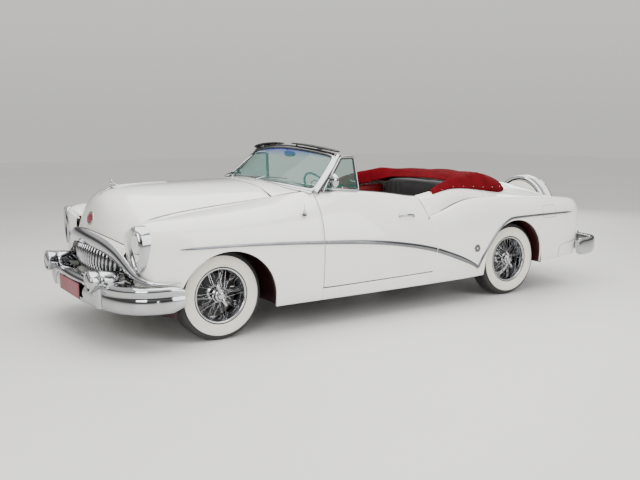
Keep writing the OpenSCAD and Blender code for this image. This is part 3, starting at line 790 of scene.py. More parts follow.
UPPER = Net([
    [[-200, 0, 1040], [-200, 300, 1035], [-200, 540, 1025], [-200, 700, 1012], [-200, 812, 1003], [-217, 881, 925],
        [-239, 928, 838]],
    at_x(-430, [[0, 1060], [300, 1055], [540, 1050], [700, 1046], [800, 1040], [862, 970], [885, 888]]),
    at_x(-650, [[0, 1090], [300, 1085], [540, 1080], [700, 1076], [782, 1068], [832, 1010], [842, 952]]),
    at_x(-1080, [[0, 1095], [300, 1085], [530, 1065], [670, 1035], [740, 1005], [780, 972], [802, 952]]),
    at_x(-1450, [[0, 1095], [300, 1078], [490, 1040], [600, 992], [670, 955], [730, 938], [770, 937]]),
    at_x(-1850, [[0, 1050], [300, 1032], [470, 990], [570, 940], [640, 910], [700, 902], [745, 910]]),
    at_x(-2160, [[0, 970], [300, 955], [460, 925], [560, 890], [630, 868], [690, 868], [725, 885]]),
    at_x(-2290, [[0, 900], [300, 892], [460, 872], [560, 850], [630, 840], [690, 848], [722, 868]]),
    at_x(-2345, [[0, 760], [300, 755], [460, 745], [560, 735], [630, 735], [690, 760], [738, 800]]),
    at_x(-2350, [[0, 500], [300, 500], [460, 498], [560, 495], [630, 495], [690, 505], [738, 520]])
], mirrored=True)
HOOD = Net([
    [[2486, 0, 822], [2478, 200, 815], [2450, 380, 796], [2408, 520, 768], [2375, 582, 748]],
    [[2466, 0, 905], [2458, 200, 897], [2428, 380, 870], [2385, 520, 835], [2352, 587, 812]],
    [[2440, 0, 1000], [2432, 200, 988], [2398, 380, 945], [2350, 520, 895], [2318, 592, 868]],
    [[2390, 0, 1082], [2382, 200, 1066], [2345, 380, 1012], [2300, 520, 950], [2270, 598, 915]],
    [[2300, 0, 1134], [2290, 200, 1118], [2258, 380, 1064], [2222, 520, 995], [2200, 602, 945]],
    [[2150, 0, 1158], [2145, 200, 1144], [2120, 380, 1096], [2090, 520, 1030], [2070, 606, 972]],
    [[1880, 0, 1168], [1878, 200, 1157], [1865, 380, 1120], [1850, 520, 1062], [1840, 609, 1002]],
    [[1560, 0, 1174], [1560, 200, 1165], [1555, 380, 1137], [1550, 520, 1092], [1545, 611, 1030]],
    [[1230, 0, 1180], [1225, 200, 1173], [1215, 380, 1152], [1205, 520, 1118], [1195, 636, 1062]]
], mirrored=True)
COWL = Net([
    [[1223, 0, 1181], [1218, 200, 1174], [1208, 380, 1153], [1198, 520, 1119], [1188, 652, 1066]],
    [[1100, 0, 1184], [1096, 200, 1178], [1086, 380, 1160], [1072, 530, 1136], [1062, 688, 1094]],
    [[980, 0, 1180], [976, 200, 1176], [966, 380, 1163], [955, 560, 1141], [945, 738, 1110]],
    [[880, 0, 1172], [878, 200, 1168], [874, 380, 1158], [870, 560, 1143], [866, 738, 1120]]
], mirrored=True)
SCREEN = Net([
    [[1110, 0, 1170], [1092, 300, 1158], [1020, 590, 1130], [944, 762, 1106], [908, 828, 1092]],
    [[900, 0, 1310], [884, 270, 1302], [828, 530, 1282], [772, 705, 1262], [735, 768, 1250]],
    [[682, 0, 1461], [672, 240, 1452], [648, 460, 1433], [615, 620, 1411], [588, 697, 1394]]
], mirrored=True)

def painted(net: Net, us: Array, vs: Array, finish: int = 0) -> Shape:
    """The stretch of a net over the stations us and rows vs, facing outward.

    Args:
        net: the net.
        us: the stations.
        vs: the rows.
        finish: the finish number.

    Returns:
        The skin.
    """
    return surface(net.at(np.asarray(us)[:, None], np.asarray(vs)[None, :]), flip=True, finish=finish)


def proud(net: Net, u: Array, v: Array, height: float) -> Array:
    """Points at a height, in metres, above the net's places (u, v).

    Args:
        net: the net.
        u: stations.
        v: rows.
        height: the height.

    Returns:
        The points.
    """
    return net.at(u, v) + height * net.normal(u, v)


@dataclass(frozen=True)
class Arch:
    """A wheel opening: a half circle over the wheel, straight down from its ends."""

    x: float
    z: float
    radius: float

    def panel(self, net: Net, before: Array, after: Array, fixed: Array, bottom: float, count: int = 36) -> Shape:
        """A stretch of a net cut by the opening. Above the opening its rows are the net's own, and below them they
        end on x = xc + r cos t, z = zc + r sin t, with t from 0 to pi.

        Args:
            net: the side's net.
            before: stations ahead of the opening.
            after: stations behind it.
            fixed: rows above the opening; the last is where the lower rows start.
            bottom: the net's lowest row.
            count: how many columns end on the opening.

        Returns:
            The panel's outer surface.
        """
        t = np.linspace(0, np.pi, count)
        u, v = net.find(self.x + self.radius * np.cos(t), self.z + self.radius * np.sin(t), low=2.0)
        v = np.minimum(v, bottom)
        step = 0.012
        us = np.concatenate([before[before < u[0] - 2 * step], [u[0] - step], u, [u[-1] + step],
                             after[after > u[-1] + 2 * step]])
        ends = np.full(us.shape, bottom)
        ends[np.searchsorted(us, u[0]):np.searchsorted(us, u[0]) + count] = v
        share = np.linspace(0, 1, 9)[1:]
        low = fixed[-1] + (ends[:, None] - fixed[-1]) * share
        vs = np.concatenate([np.broadcast_to(fixed, (len(us), len(fixed))), low], 1)
        return surface(net.at(us[:, None], vs), flip=True)

    def liner(self, side_y: float, depth: float, bulge: float = 0.0, count: int = 33) -> Shape:
        """A curved sheet inside the opening; its radius grows by the bulge over its first 0.14 m inwards.

        Args:
            side_y: where it starts, just inside the side.
            depth: how far inwards it goes.
            bulge: the growth.
            count: how many places round the opening.

        Returns:
            The sheet.
        """
        t = np.linspace(-0.15, np.pi + 0.15, count)[:, None]
        y = np.linspace(side_y, side_y - depth, 12)[None]
        r = self.radius + 0.012 + bulge * np.clip((side_y - 0.015 - y) / 0.14, 0, 1)
        grid = np.stack([self.x + r * np.cos(t), np.broadcast_to(y, (count, 12)), self.z + r * np.sin(t)], -1)
        return surface(grid, flip=False)


FRONT_ARCH = Arch(1.730, 0.298, 0.408)
REAR_ARCH = Arch(-1.306, 0.355, 0.388)


@dataclass(frozen=True)
class PanelSizes:
    """Thicknesses and gaps shared by the painted panels, in metres."""

    wall: float = 0.014
    lid: float = 0.018
    edge: float = 0.0022


class Panels:
    """The fixed painted body and its moving lids and doors."""

    def __init__(self, sizes: PanelSizes) -> None:
        """Args:
        sizes: the shared sizes.
        """
        self.sizes = sizes

    def build(self) -> None:
        """Makes every panel."""
        self.fenders()
        self.quarters()
        self.deck()
        self.lids()
        self.sills()
        self.wheelhouses()

    def fenders(self) -> None:
        """Front fenders, from the headlamp's face to the door's front gap."""
        skin = FRONT_ARCH.panel(SIDE, np.linspace(0, 4.9, 40), np.linspace(6.9, 7.994, 12),
                                np.concatenate([[0, 0.5], np.linspace(1, 4.0, 22)]), 7.0)
        for side, name in SIDES:
            piece(f"fender_{name}_skin", skin.sided(side), [IVORY], stands_for=[f"fender_{name}"],
                  slot="body_paint", wall=self.sizes.wall, bevel=self.sizes.edge)

    def quarters(self) -> None:
        """Rear quarters: the kicked-up fender, the shelf beside the seat and the valley beside the trunk lid."""
        side_skin = REAR_ARCH.panel(REAR, np.linspace(1.012, 3.9, 34), np.linspace(4.9, 9, 40),
                                    np.linspace(0, 2.2, 18), 5.0)
        shelf = painted(UPPER, np.linspace(0.03, 3, 32), np.linspace(3.5, 6, 20))
        valley = painted(UPPER, np.linspace(3, 7, 40), np.linspace(3.0, 6, 24))
        for side, name in SIDES:
            piece(f"quarter_{name}_skin", (side_skin + shelf + valley).sided(side), [IVORY],
                  stands_for=[f"quarter_{name}"], slot="body_paint", wall=self.sizes.wall, bevel=self.sizes.edge)
            self._crest(side, name)

    @staticmethod
    def _crest(side: float, name: str) -> None:
        """The sheet that closes the crest between the shelf and the rear fender, and a black line of painted shade
        along the crease.

        Args:
            side: 1 for the left, -1 for the right.
            name: the side's name.
        """
        us = np.linspace(1.03, 8.4, 90)
        low = REAR.at(us, 0.04 + 0 * us)
        row = np.linspace(0.03, 7.4, 400)
        edge = UPPER.at(row, 5.97 + 0 * row)
        high = np.stack([np.interp(-low[:, 0], -edge[:, 0], edge[:, k]) for k in range(3)], -1)
        high[:, 0] = low[:, 0]
        share = np.linspace(0, 1, 5)[:, None]
        grid = low[:, None] * (1 - share) + high[:, None] * share - np.array([0, 0, 0.0012])
        piece(f"crest_{name}", surface(grid, flip=True).sided(side), [IVORY], slot="body_paint", wall=0.003)
        # A black rod along the crease: painted shade where the fender's top turns in to the shelf.
        line = REAR.at(us, 0.02 + 0 * us) + np.array([0.0, 0.0, 0.0060])
        line = np.concatenate([np.array([[-0.226, 0.944, 0.822]]), line[2:]])
        seam = carried(line, oval(0.0062, 0.0046, 8))
        piece(f"crest_seam_{name}", seam.sided(side), [BLACK_TRIM])

    def deck(self) -> None:
        """The panel between the folded top and the trunk lid, and the tail panel below the lid."""
        v = np.linspace(-2.995, 2.995, 61)
        w = np.linspace(-6, 6, 97)
        skin = painted(UPPER, np.linspace(3, 4.5, 14), v) + painted(UPPER, np.linspace(7.0, 9, 22), w)
        piece("rear_deck_skin", skin, [IVORY], stands_for=["rear_deck"], slot="body_paint", wall=self.sizes.wall,
              bevel=self.sizes.edge)

    def lids(self) -> None:
        """The hood with its raised centre, the cowl behind it, and the trunk lid."""
        hood = painted(HOOD, np.linspace(0, 8, 64), np.linspace(-4, 4, 81))
        piece("hood_skin", hood, [IVORY], "hood", ["hood"], "body_paint", self.sizes.lid, self.sizes.edge)
        cowl = painted(COWL, np.linspace(0.03, 3, 16), np.linspace(-4, 4, 61))
        piece("cowl_skin", cowl, [IVORY], "body", ["cowl"], "body_paint", self.sizes.wall, self.sizes.edge)
        wall = block((1.140, -0.60, 0.315), (1.150, 0.60, 1.07))
        piece("firewall", wall, [BLACK_GLOSS], bevel=0.002)
        lid = painted(UPPER, np.linspace(4.56, 6.93, 36), np.linspace(-2.92, 2.92, 61))
        piece("trunk_lid_skin", lid, [IVORY], "trunk_lid", ["trunk_lid"], "body_paint", self.sizes.lid,
              self.sizes.edge)

    def sills(self) -> None:
        """Painted sills below the doors."""
        us = np.linspace(8.0, 11.0, 30)
        grid = proud(SIDE, us[:, None], np.linspace(6.03, 7.0, 6)[None, :], 0.001)
        for side, name in SIDES:
            piece(f"sill_{name}", surface(grid, flip=True).sided(side), [IVORY], slot="body_paint", wall=0.012,
                  bevel=0.002)

    def wheelhouses(self) -> None:
        """Dark red inner sheets of the wheel openings."""
        front = FRONT_ARCH.liner(0.925, 0.452, 0.050)
        back = REAR_ARCH.liner(0.930, 0.36)
        shield = self._shield()
        for side, name in SIDES:
            piece(f"front_wheelhouse_{name}", (front + shield).sided(side), [OXBLOOD], wall=0.003)
            piece(f"rear_wheelhouse_{name}", back.sided(side), [OXBLOOD], wall=0.003)

    def _shield(self) -> Shape:
        """The upright sheet between the front wheel and the engine bay, with its top under the hood's edge.

        Returns:
            The sheet.
        """
        x = np.linspace(1.16, 2.24, 24)
        z = np.linspace(0.33, 0.86, 8)
        grid = np.stack([np.broadcast_to(x[:, None], (24, 8)),
                         0.470 + 0.002 * np.broadcast_to(np.sin(z * 9), (24, 8)),
                         np.broadcast_to(z, (24, 8))], -1)
        return surface(grid, flip=False)


class Door:
    """One door: a painted shell whose inner face is trimmed, with its handle, mirror and fittings."""

    def __init__(self, side: float, name: str) -> None:
        """Args:
        side: +1 for the left, -1 for the right.
        name: "left" or "right".
        """
        self.side, self.name = side, name

    def put(self, name: str, shape: Shape, finishes: Sequence, **more: object) -> bpy.types.Object:
        """Makes one piece of this door, drawn for the left side.

        Args:
            name: its name, without the door.
            shape: its shape.
            finishes: its finishes.
            more: what piece() also takes.

        Returns:
            The object.
        """
        return piece(f"door_{self.name}_{name}", shape.sided(self.side), finishes, f"door_{self.name}", **more)

    def build(self) -> None:
        """Makes the door."""
        us = np.linspace(8.012, 10.988, 46)
        vs = np.linspace(0, 5.96, 40)
        outer = SIDE.at(us[:, None], vs[None, :])
        inner = outer.copy()
        inner[..., 1] = np.minimum(outer[..., 1] - 0.02, 0.772 + np.maximum(0, 1.08 - outer[..., 2]) * 0.11)
        inner[..., 2] -= np.where(inner[..., 2] > 1.0, 0.004, 0.0)
        back = np.clip((us - 10.6) / 0.388, 0, 1)[:, None]
        inner[..., 0] += 0.030 * back
        front = np.clip((8.3 - us) / 0.288, 0, 1)[:, None]
        inner[..., 0] -= 0.012 * front
        edge = np.linspace(0, 1, 4)[:, None, None]
        shell = surface(outer, flip=True) + surface(inner, finish=1)
        shell = shell + surface(outer[:, 0] + (inner[:, 0] - outer[:, 0]) * edge)
        shell = shell + surface(outer[:, -1] + (inner[:, -1] - outer[:, -1]) * edge, flip=True)
        shell = shell + surface(outer[0] + (inner[0] - outer[0]) * edge, flip=True)
        shell = shell + surface(outer[-1] + (inner[-1] - outer[-1]) * edge)
        self.put("shell", shell, [IVORY, RED_LEATHER], stands_for=[f"door_{self.name}"], slot="body_paint",
                 smooth_angle=34)
        self._outside()
        self._inside()

    def _outside(self) -> None:
        """The push-button handle, the belt moulding and the round mirror."""
        u, v = SIDE.find(np.array([0.02]), np.array([0.860]), low=2.0)
        base, out = SIDE.at(u, v)[0], SIDE.normal(u, v)[0]
        run = np.linspace(-0.085, 0.085, 17)
        bow = 0.030 - 0.024 * np.abs(run / 0.085) ** 3
        path = base + np.array([1.0, 0, 0.03]) * run[:, None] + out * bow[:, None]
        section = oval(1, 1, 12)[None] * np.stack([0.005 + 0 * run, 0.011 - 0.004 * np.abs(run / 0.085) ** 2],
                                                  -1)[:, None]
        grip = carried(path, section)
        feet = joined(rod(base + np.array([x, 0, 0.03 * x]) - out * 0.006,
                          base + np.array([x, 0, 0.03 * x]) + out * 0.012, 0.013) for x in (-0.078, 0.078))
        button = rod(base + np.array([0.078, 0, 0.002]), base + np.array([0.078, 0, 0.002]) + out * 0.02, 0.009)
        self.put("handle", grip + feet + button, [CHROME], slot="chrome_trim")
        us = np.linspace(8.03, 9.05, 26)
        belt = proud(SIDE, us, np.full(26, 0.92), 0.006)
        self.put("belt_moulding", carried(belt, oval(0.015, 0.009, 12)), [CHROME], slot="chrome_trim")
        us = np.linspace(9.05, 10.97, 40)
        cap = proud(SIDE, us, np.full(40, 0.62), 0.001)
        self.put("belt_welt", carried(cap, oval(0.007, 0.004, 8)), [BLACK_TRIM], slot="chrome_trim")
        foot = SIDE.at(np.array([8.45]), np.array([1.0]))[0]
        arm = smooth_path([foot / MM, foot / MM + [4, 12, 34], foot / MM + [6, 26, 62]], 10)
        head = foot + np.array([0.006, 0.030, 0.082])
        profile = [(0, -0.030), (0.020, -0.028), (0.040, -0.018), (0.055, -0.003), (0.058, 0.004), (0.055, 0.008),
                   (0.051, 0.006), (0, 0.0055)]
        bowl = lathe(profile, 28).turned(tilted((-0.985, -0.17, 0.05))).moved(*head)
        self.put("mirror", carried(arm, oval(0.008, 0.006, 8)) + bowl, [CHROME], slot="chrome_trim")

    def _inside(self) -> None:
        """The arm rest, the winder, the latch lever and the ribs of the trim."""
        rest = smooth_path([[560, 742, 700], [400, 728, 706], [120, 726, 690], [0, 742, 650]], 14)
        pad = self.put("arm_rest", carried(rest, oval(0.028, 0.024, 14, 2.6)), [RED_LEATHER], slot="seat_leather")
        hub = (0.42, 0.790, 0.80)
        crank = rod(hub, (0.42, 0.752, 0.80), 0.014) + rod((0.42, 0.755, 0.80), (0.34, 0.755, 0.745), 0.006)
        knob = rod((0.34, 0.755, 0.745), (0.34, 0.722, 0.745), 0.010)
        lever = rod((0.16, 0.79, 0.86), (0.16, 0.76, 0.86), 0.012)
        lever = lever + rod((0.16, 0.762, 0.86), (0.24, 0.762, 0.868), 0.006)
        self.put("winder", crank + knob.finished(1) + lever, [CHROME, BLACK_TRIM], slot="chrome_trim")
        ribs = []
        for z in (0.52, 0.60):
            x = np.linspace(-0.16, 0.80, 20)
            y = 0.772 + (1.08 - z) * 0.11 - 0.001
            ribs.append(carried(np.stack([x, 0 * x + y, 0 * x + z], -1), oval(0.004, 0.003, 6)))
        self.put("trim_ribs", joined(ribs), [CHROME], slot="chrome_trim")


# ---------------------------------------------------------------- wheels


@dataclass(frozen=True)
class WheelSizes:
    """A wheel's main sizes, in metres."""

    tyre: float = 0.350
    rim: float = 0.2077
    hub: float = 0.052
    track: float = 0.762
    front_x: float = 1.750
    rear_x: float = -1.336
    around: int = 192


class Wheels:
    """Four wire wheels with whitewall tyres, drawn about +Z as the outer side and then carried into place."""

    def __init__(self, sizes: WheelSizes) -> None:
        """Args:
        sizes: the wheel's sizes.
        """
        self.sizes = sizes

    def tyre(self) -> Shape:
        """A tyre: white band on the outer side, ribbed tread with zigzag grooves.

        Returns:
            The closed skin, with finish 0 for black and 1 for white.
        """
        wall = [(0.2080, 0.0720), (0.2120, 0.0800), (0.2180, 0.0850), (0.2225, 0.0868), (0.2235, 0.0885),
                (0.2400, 0.0930), (0.2600, 0.0965), (0.2800, 0.0975), (0.2980, 0.0962), (0.3090, 0.0935),
                (0.3100, 0.0915), (0.3200, 0.0880), (0.3300, 0.0820), (0.3330, 0.0812), (0.3400, 0.0745),
                (0.3430, 0.0700), (0.3455, 0.0660), (0.3470, 0.0610)]
        tread, depth = [], 0.0075
        for k in range(-2, 3):
            top = 0.350 - 0.0004 * k * k
            tread.append([(top, 0.022 * k + 0.0090), (top, 0.022 * k - 0.0090)])
        rows = list(wall)
        for pair in reversed(tread):
            z = pair[0][1] + 0.002
            rows += [(0.350 - depth, min(z, 0.0585)), (pair[0][0], pair[0][1]), (pair[1][0], pair[1][1]),
                     (0.350 - depth, pair[1][1] - 0.002)]
        rows += [(r, -z) for r, z in reversed(wall)]
        rows = rows[::-1]
        finish = [1 if 0.2230 < min(a[0], b[0]) and max(a[0], b[0]) < 0.3095 and a[1] > 0.05 else 0
                  for a, b in zip(rows, rows[1:])] + [0]
        shape = lathe(rows, self.sizes.around, finish, closed=True)
        p = shape.points
        r = np.hypot(p[:, 0], p[:, 1])
        inner = (r > 0.340) & (np.abs(p[:, 2]) < 0.050)
        wave = np.abs((np.arctan2(p[:, 1], p[:, 0]) * 48 / (2 * np.pi)) % 1.0 - 0.5) * 4 - 1
        p[:, 2] += np.where(inner, 0.0028 * wave, 0.0)
        return shape

    def rim(self) -> Shape:
        """The chromed rim with its drop centre and the ring that covers its edge.

        Returns:
            The rim, with +Z outward.
        """
        profile = [(0.2075, -0.070), (0.2075, -0.083), (0.2020, -0.086), (0.1980, -0.080), (0.1960, -0.056),
                   (0.1860, -0.042), (0.1850, 0.030), (0.1900, 0.040), (0.1905, 0.052), (0.1960, 0.060),
                   (0.1975, 0.072), (0.2010, 0.082), (0.2050, 0.0875), (0.2100, 0.0890), (0.2145, 0.0885),
                   (0.2160, 0.0865), (0.2130, 0.0855), (0.2085, 0.0840), (0.2075, 0.0720), (0.1990, 0.0560),
                   (0.1930, 0.0380), (0.1930, -0.0400), (0.2000, -0.0560)]
        return lathe(profile[::-1], 96, 0, closed=True).mapped(lambda p: p, flip=True)

    def spokes(self) -> Shape:
        """Three rows of wires laced between the hub's flanges and the rim, each with a nipple.

        Returns:
            The wires.
        """
        wires = []
        rows = ((20, 0.050, 0.064, 0.1865, 0.026, 24.0), (20, 0.052, 0.040, 0.1865, 0.006, -30.0),
                (20, 0.056, -0.034, 0.1865, -0.020, 30.0))
        for n, r0, z0, r1, z1, lead in rows:
            for k in range(n):
                way = 1 if k % 2 else -1
                a = 2 * np.pi * (k + 0.5 * (lead > 0)) / n
                b = a + np.radians(lead) * way
                start = np.array([r0 * np.cos(a), r0 * np.sin(a), z0])
                stop = np.array([r1 * np.cos(b), r1 * np.sin(b), z1 + 0.004 * way])
                wires.append(rod(start, stop, 0.0015, 6))
                run = (start - stop) / np.linalg.norm(start - stop)
                wires.append(rod(stop, stop + run * 0.010, 0.0026, 6))
        return joined(wires)

    def hub(self) -> Shape:
        """The hub's shell, its flanges and a plain domed cap with a dark ring.

        Returns:
            The hub.
        """
        shell = lathe([(0, -0.074), (0.050, -0.074), (0.060, -0.066), (0.060, -0.040), (0.046, -0.030),
                       (0.044, 0.020), (0.050, 0.036), (0.060, 0.044), (0.060, 0.052), (0.052, 0.060),
                       (0.054, 0.068), (0.050, 0.076), (0, 0.076)], 48)
        cap = lathe([(0.050, 0.072), (0.0505, 0.080), (0.046, 0.088), (0.036, 0.092), (0.034, 0.0905), (0.030, 0.0905),
                     (0.028, 0.093), (0.016, 0.0965), (0, 0.0975)], 48, [0, 0, 0, 1, 1, 1, 0, 0])
        ears = []
        for way in (0.35, 0.35 + np.pi):
            turn = np.array([[np.cos(way), np.sin(way), 0], [-np.sin(way), np.cos(way), 0], [0, 0, 1.0]])
            blade = carried(smooth_path([[26, 0, 88], [48, 0, 95], [70, 4, 96], [92, 10, 92]], 12),
                            oval(0.0135, 0.0055, 12, 2.4)[None] * np.linspace(1.0, 0.72, 12)[:, None, None])
            ears.append(blade.turned(turn))
        return shell + cap + joined(ears)

    def drum(self) -> Shape:
        """The ribbed brake drum behind the wires.

        Returns:
            The drum.
        """
        ribs = [(0, -0.088), (0.140, -0.088)]
        for k in range(5):
            z = -0.086 + 0.007 * k
            ribs += [(0.150, z), (0.150, z + 0.003), (0.144, z + 0.0035), (0.144, z + 0.0065)]
        ribs += [(0.140, -0.048), (0.070, -0.044), (0, -0.044)]
        return lathe(ribs, 72)

    def build(self) -> None:
        """Makes the four wheels."""
        s = self.sizes
        tyre, rim, spokes, hub, drum = self.tyre(), self.rim(), self.spokes(), self.hub(), self.drum()
        valve = rod((0.196, 0.0, 0.070), (0.182, 0.0, 0.098), 0.0042, 8)
        for end, x in (("front", s.front_x), ("rear", s.rear_x)):
            for side, name in SIDES:
                tag = f"{end}_{name}"

                def place(shape: Shape) -> Shape:
                    """Carries a wheel's shape to this corner of the car."""
                    return shape.turned(TO_Y).moved(0, s.track, s.tyre).sided(side).moved(x)

                piece(f"tyre_{tag}_cover", place(tyre), [RUBBER, WHITE_RUBBER], f"wheel_{tag}", [f"tyre_{tag}"],
                      "tyre_rubber")
                piece(f"wheel_{tag}_rim", place(rim), [CHROME], f"wheel_{tag}", [f"wheel_{tag}"], "wire_chrome")
                piece(f"wheel_{tag}_wires", place(spokes), [CHROME], f"wheel_{tag}", slot="wire_chrome")
                piece(f"wheel_{tag}_hub", place(hub), [CHROME, BLACK_GLOSS], f"wheel_{tag}", slot="wire_chrome")
                piece(f"wheel_{tag}_drum", place(drum), [DARK_METAL], f"wheel_{tag}", slot="steel_parts")
                piece(f"wheel_{tag}_valve", place(valve), [RUBBER], f"wheel_{tag}")
        self._spare(tyre, rim, spokes, hub)

    def _spare(self, tyre: Shape, rim: Shape, spokes: Shape, hub: Shape) -> None:
        """The spare wheel in its painted cover, upright behind the trunk lid and facing rearward.

        Args:
            tyre: the tyre's shape.
            rim: the rim's.
            spokes: the wires'.
            hub: the hub's.
        """
        squash = np.array([1.0, 1.0, 0.80])
        back = np.stack([[0.0, -1.0, 0.0], [0.0, 0.0, 1.0], [-1.0, 0.0, 0.0]])

        def place(shape: Shape) -> Shape:
            """Thins a wheel's shape a little and stands it against the cover."""
            return shape.mapped(lambda p: p * squash).turned(back).moved(-2.462, 0, 0.690)

        cover = lathe([(0, 0.000), (0.333, 0.004), (0.337, 0.026), (0.352, 0.030), (0.357, 0.010), (0.366, 0.004),
                       (0.382, 0.014), (0.3885, 0.040), (0.390, 0.085),
                       (0.3895, 0.115), (0.3860, 0.134), (0.3800, 0.138), (0.3740, 0.134), (0.3720, 0.110),
                       (0.3640, 0.060), (0.340, 0.022), (0, 0.016)], 96,
                      [0, 1, 1, 1, 2, 2, 2] + [0] * 9).turned(back).moved(-2.365, 0, 0.690)
        piece("spare_cover", cover, [IVORY, BLACK_TRIM, CHROME], stands_for=["spare_wheel"], slot="body_paint")
        piece("spare_tyre", place(tyre), [RUBBER, WHITE_RUBBER], slot="tyre_rubber")
        piece("spare_rim", place(rim), [CHROME], slot="wire_chrome")
        piece("spare_wires", place(spokes), [CHROME], slot="wire_chrome")
        piece("spare_hub", place(hub), [CHROME, BLACK_GLOSS], slot="wire_chrome")
        a = np.linspace(0, 2 * np.pi, 96, endpoint=False)
        rings = []
        for r, deep, wide in ((0.3845, 0.1385, 0.0075), (0.3885, 0.050, 0.0035)):
            loop = np.stack([r * np.cos(a), r * np.sin(a), 0 * a + deep], -1)
            rings.append(carried(loop, oval(wide, wide, 8), closed=True))
        piece("spare_rings", joined(rings).turned(back).moved(-2.365, 0, 0.690), [CHROME], slot="chrome_trim")


# ---------------------------------------------------------------- the front


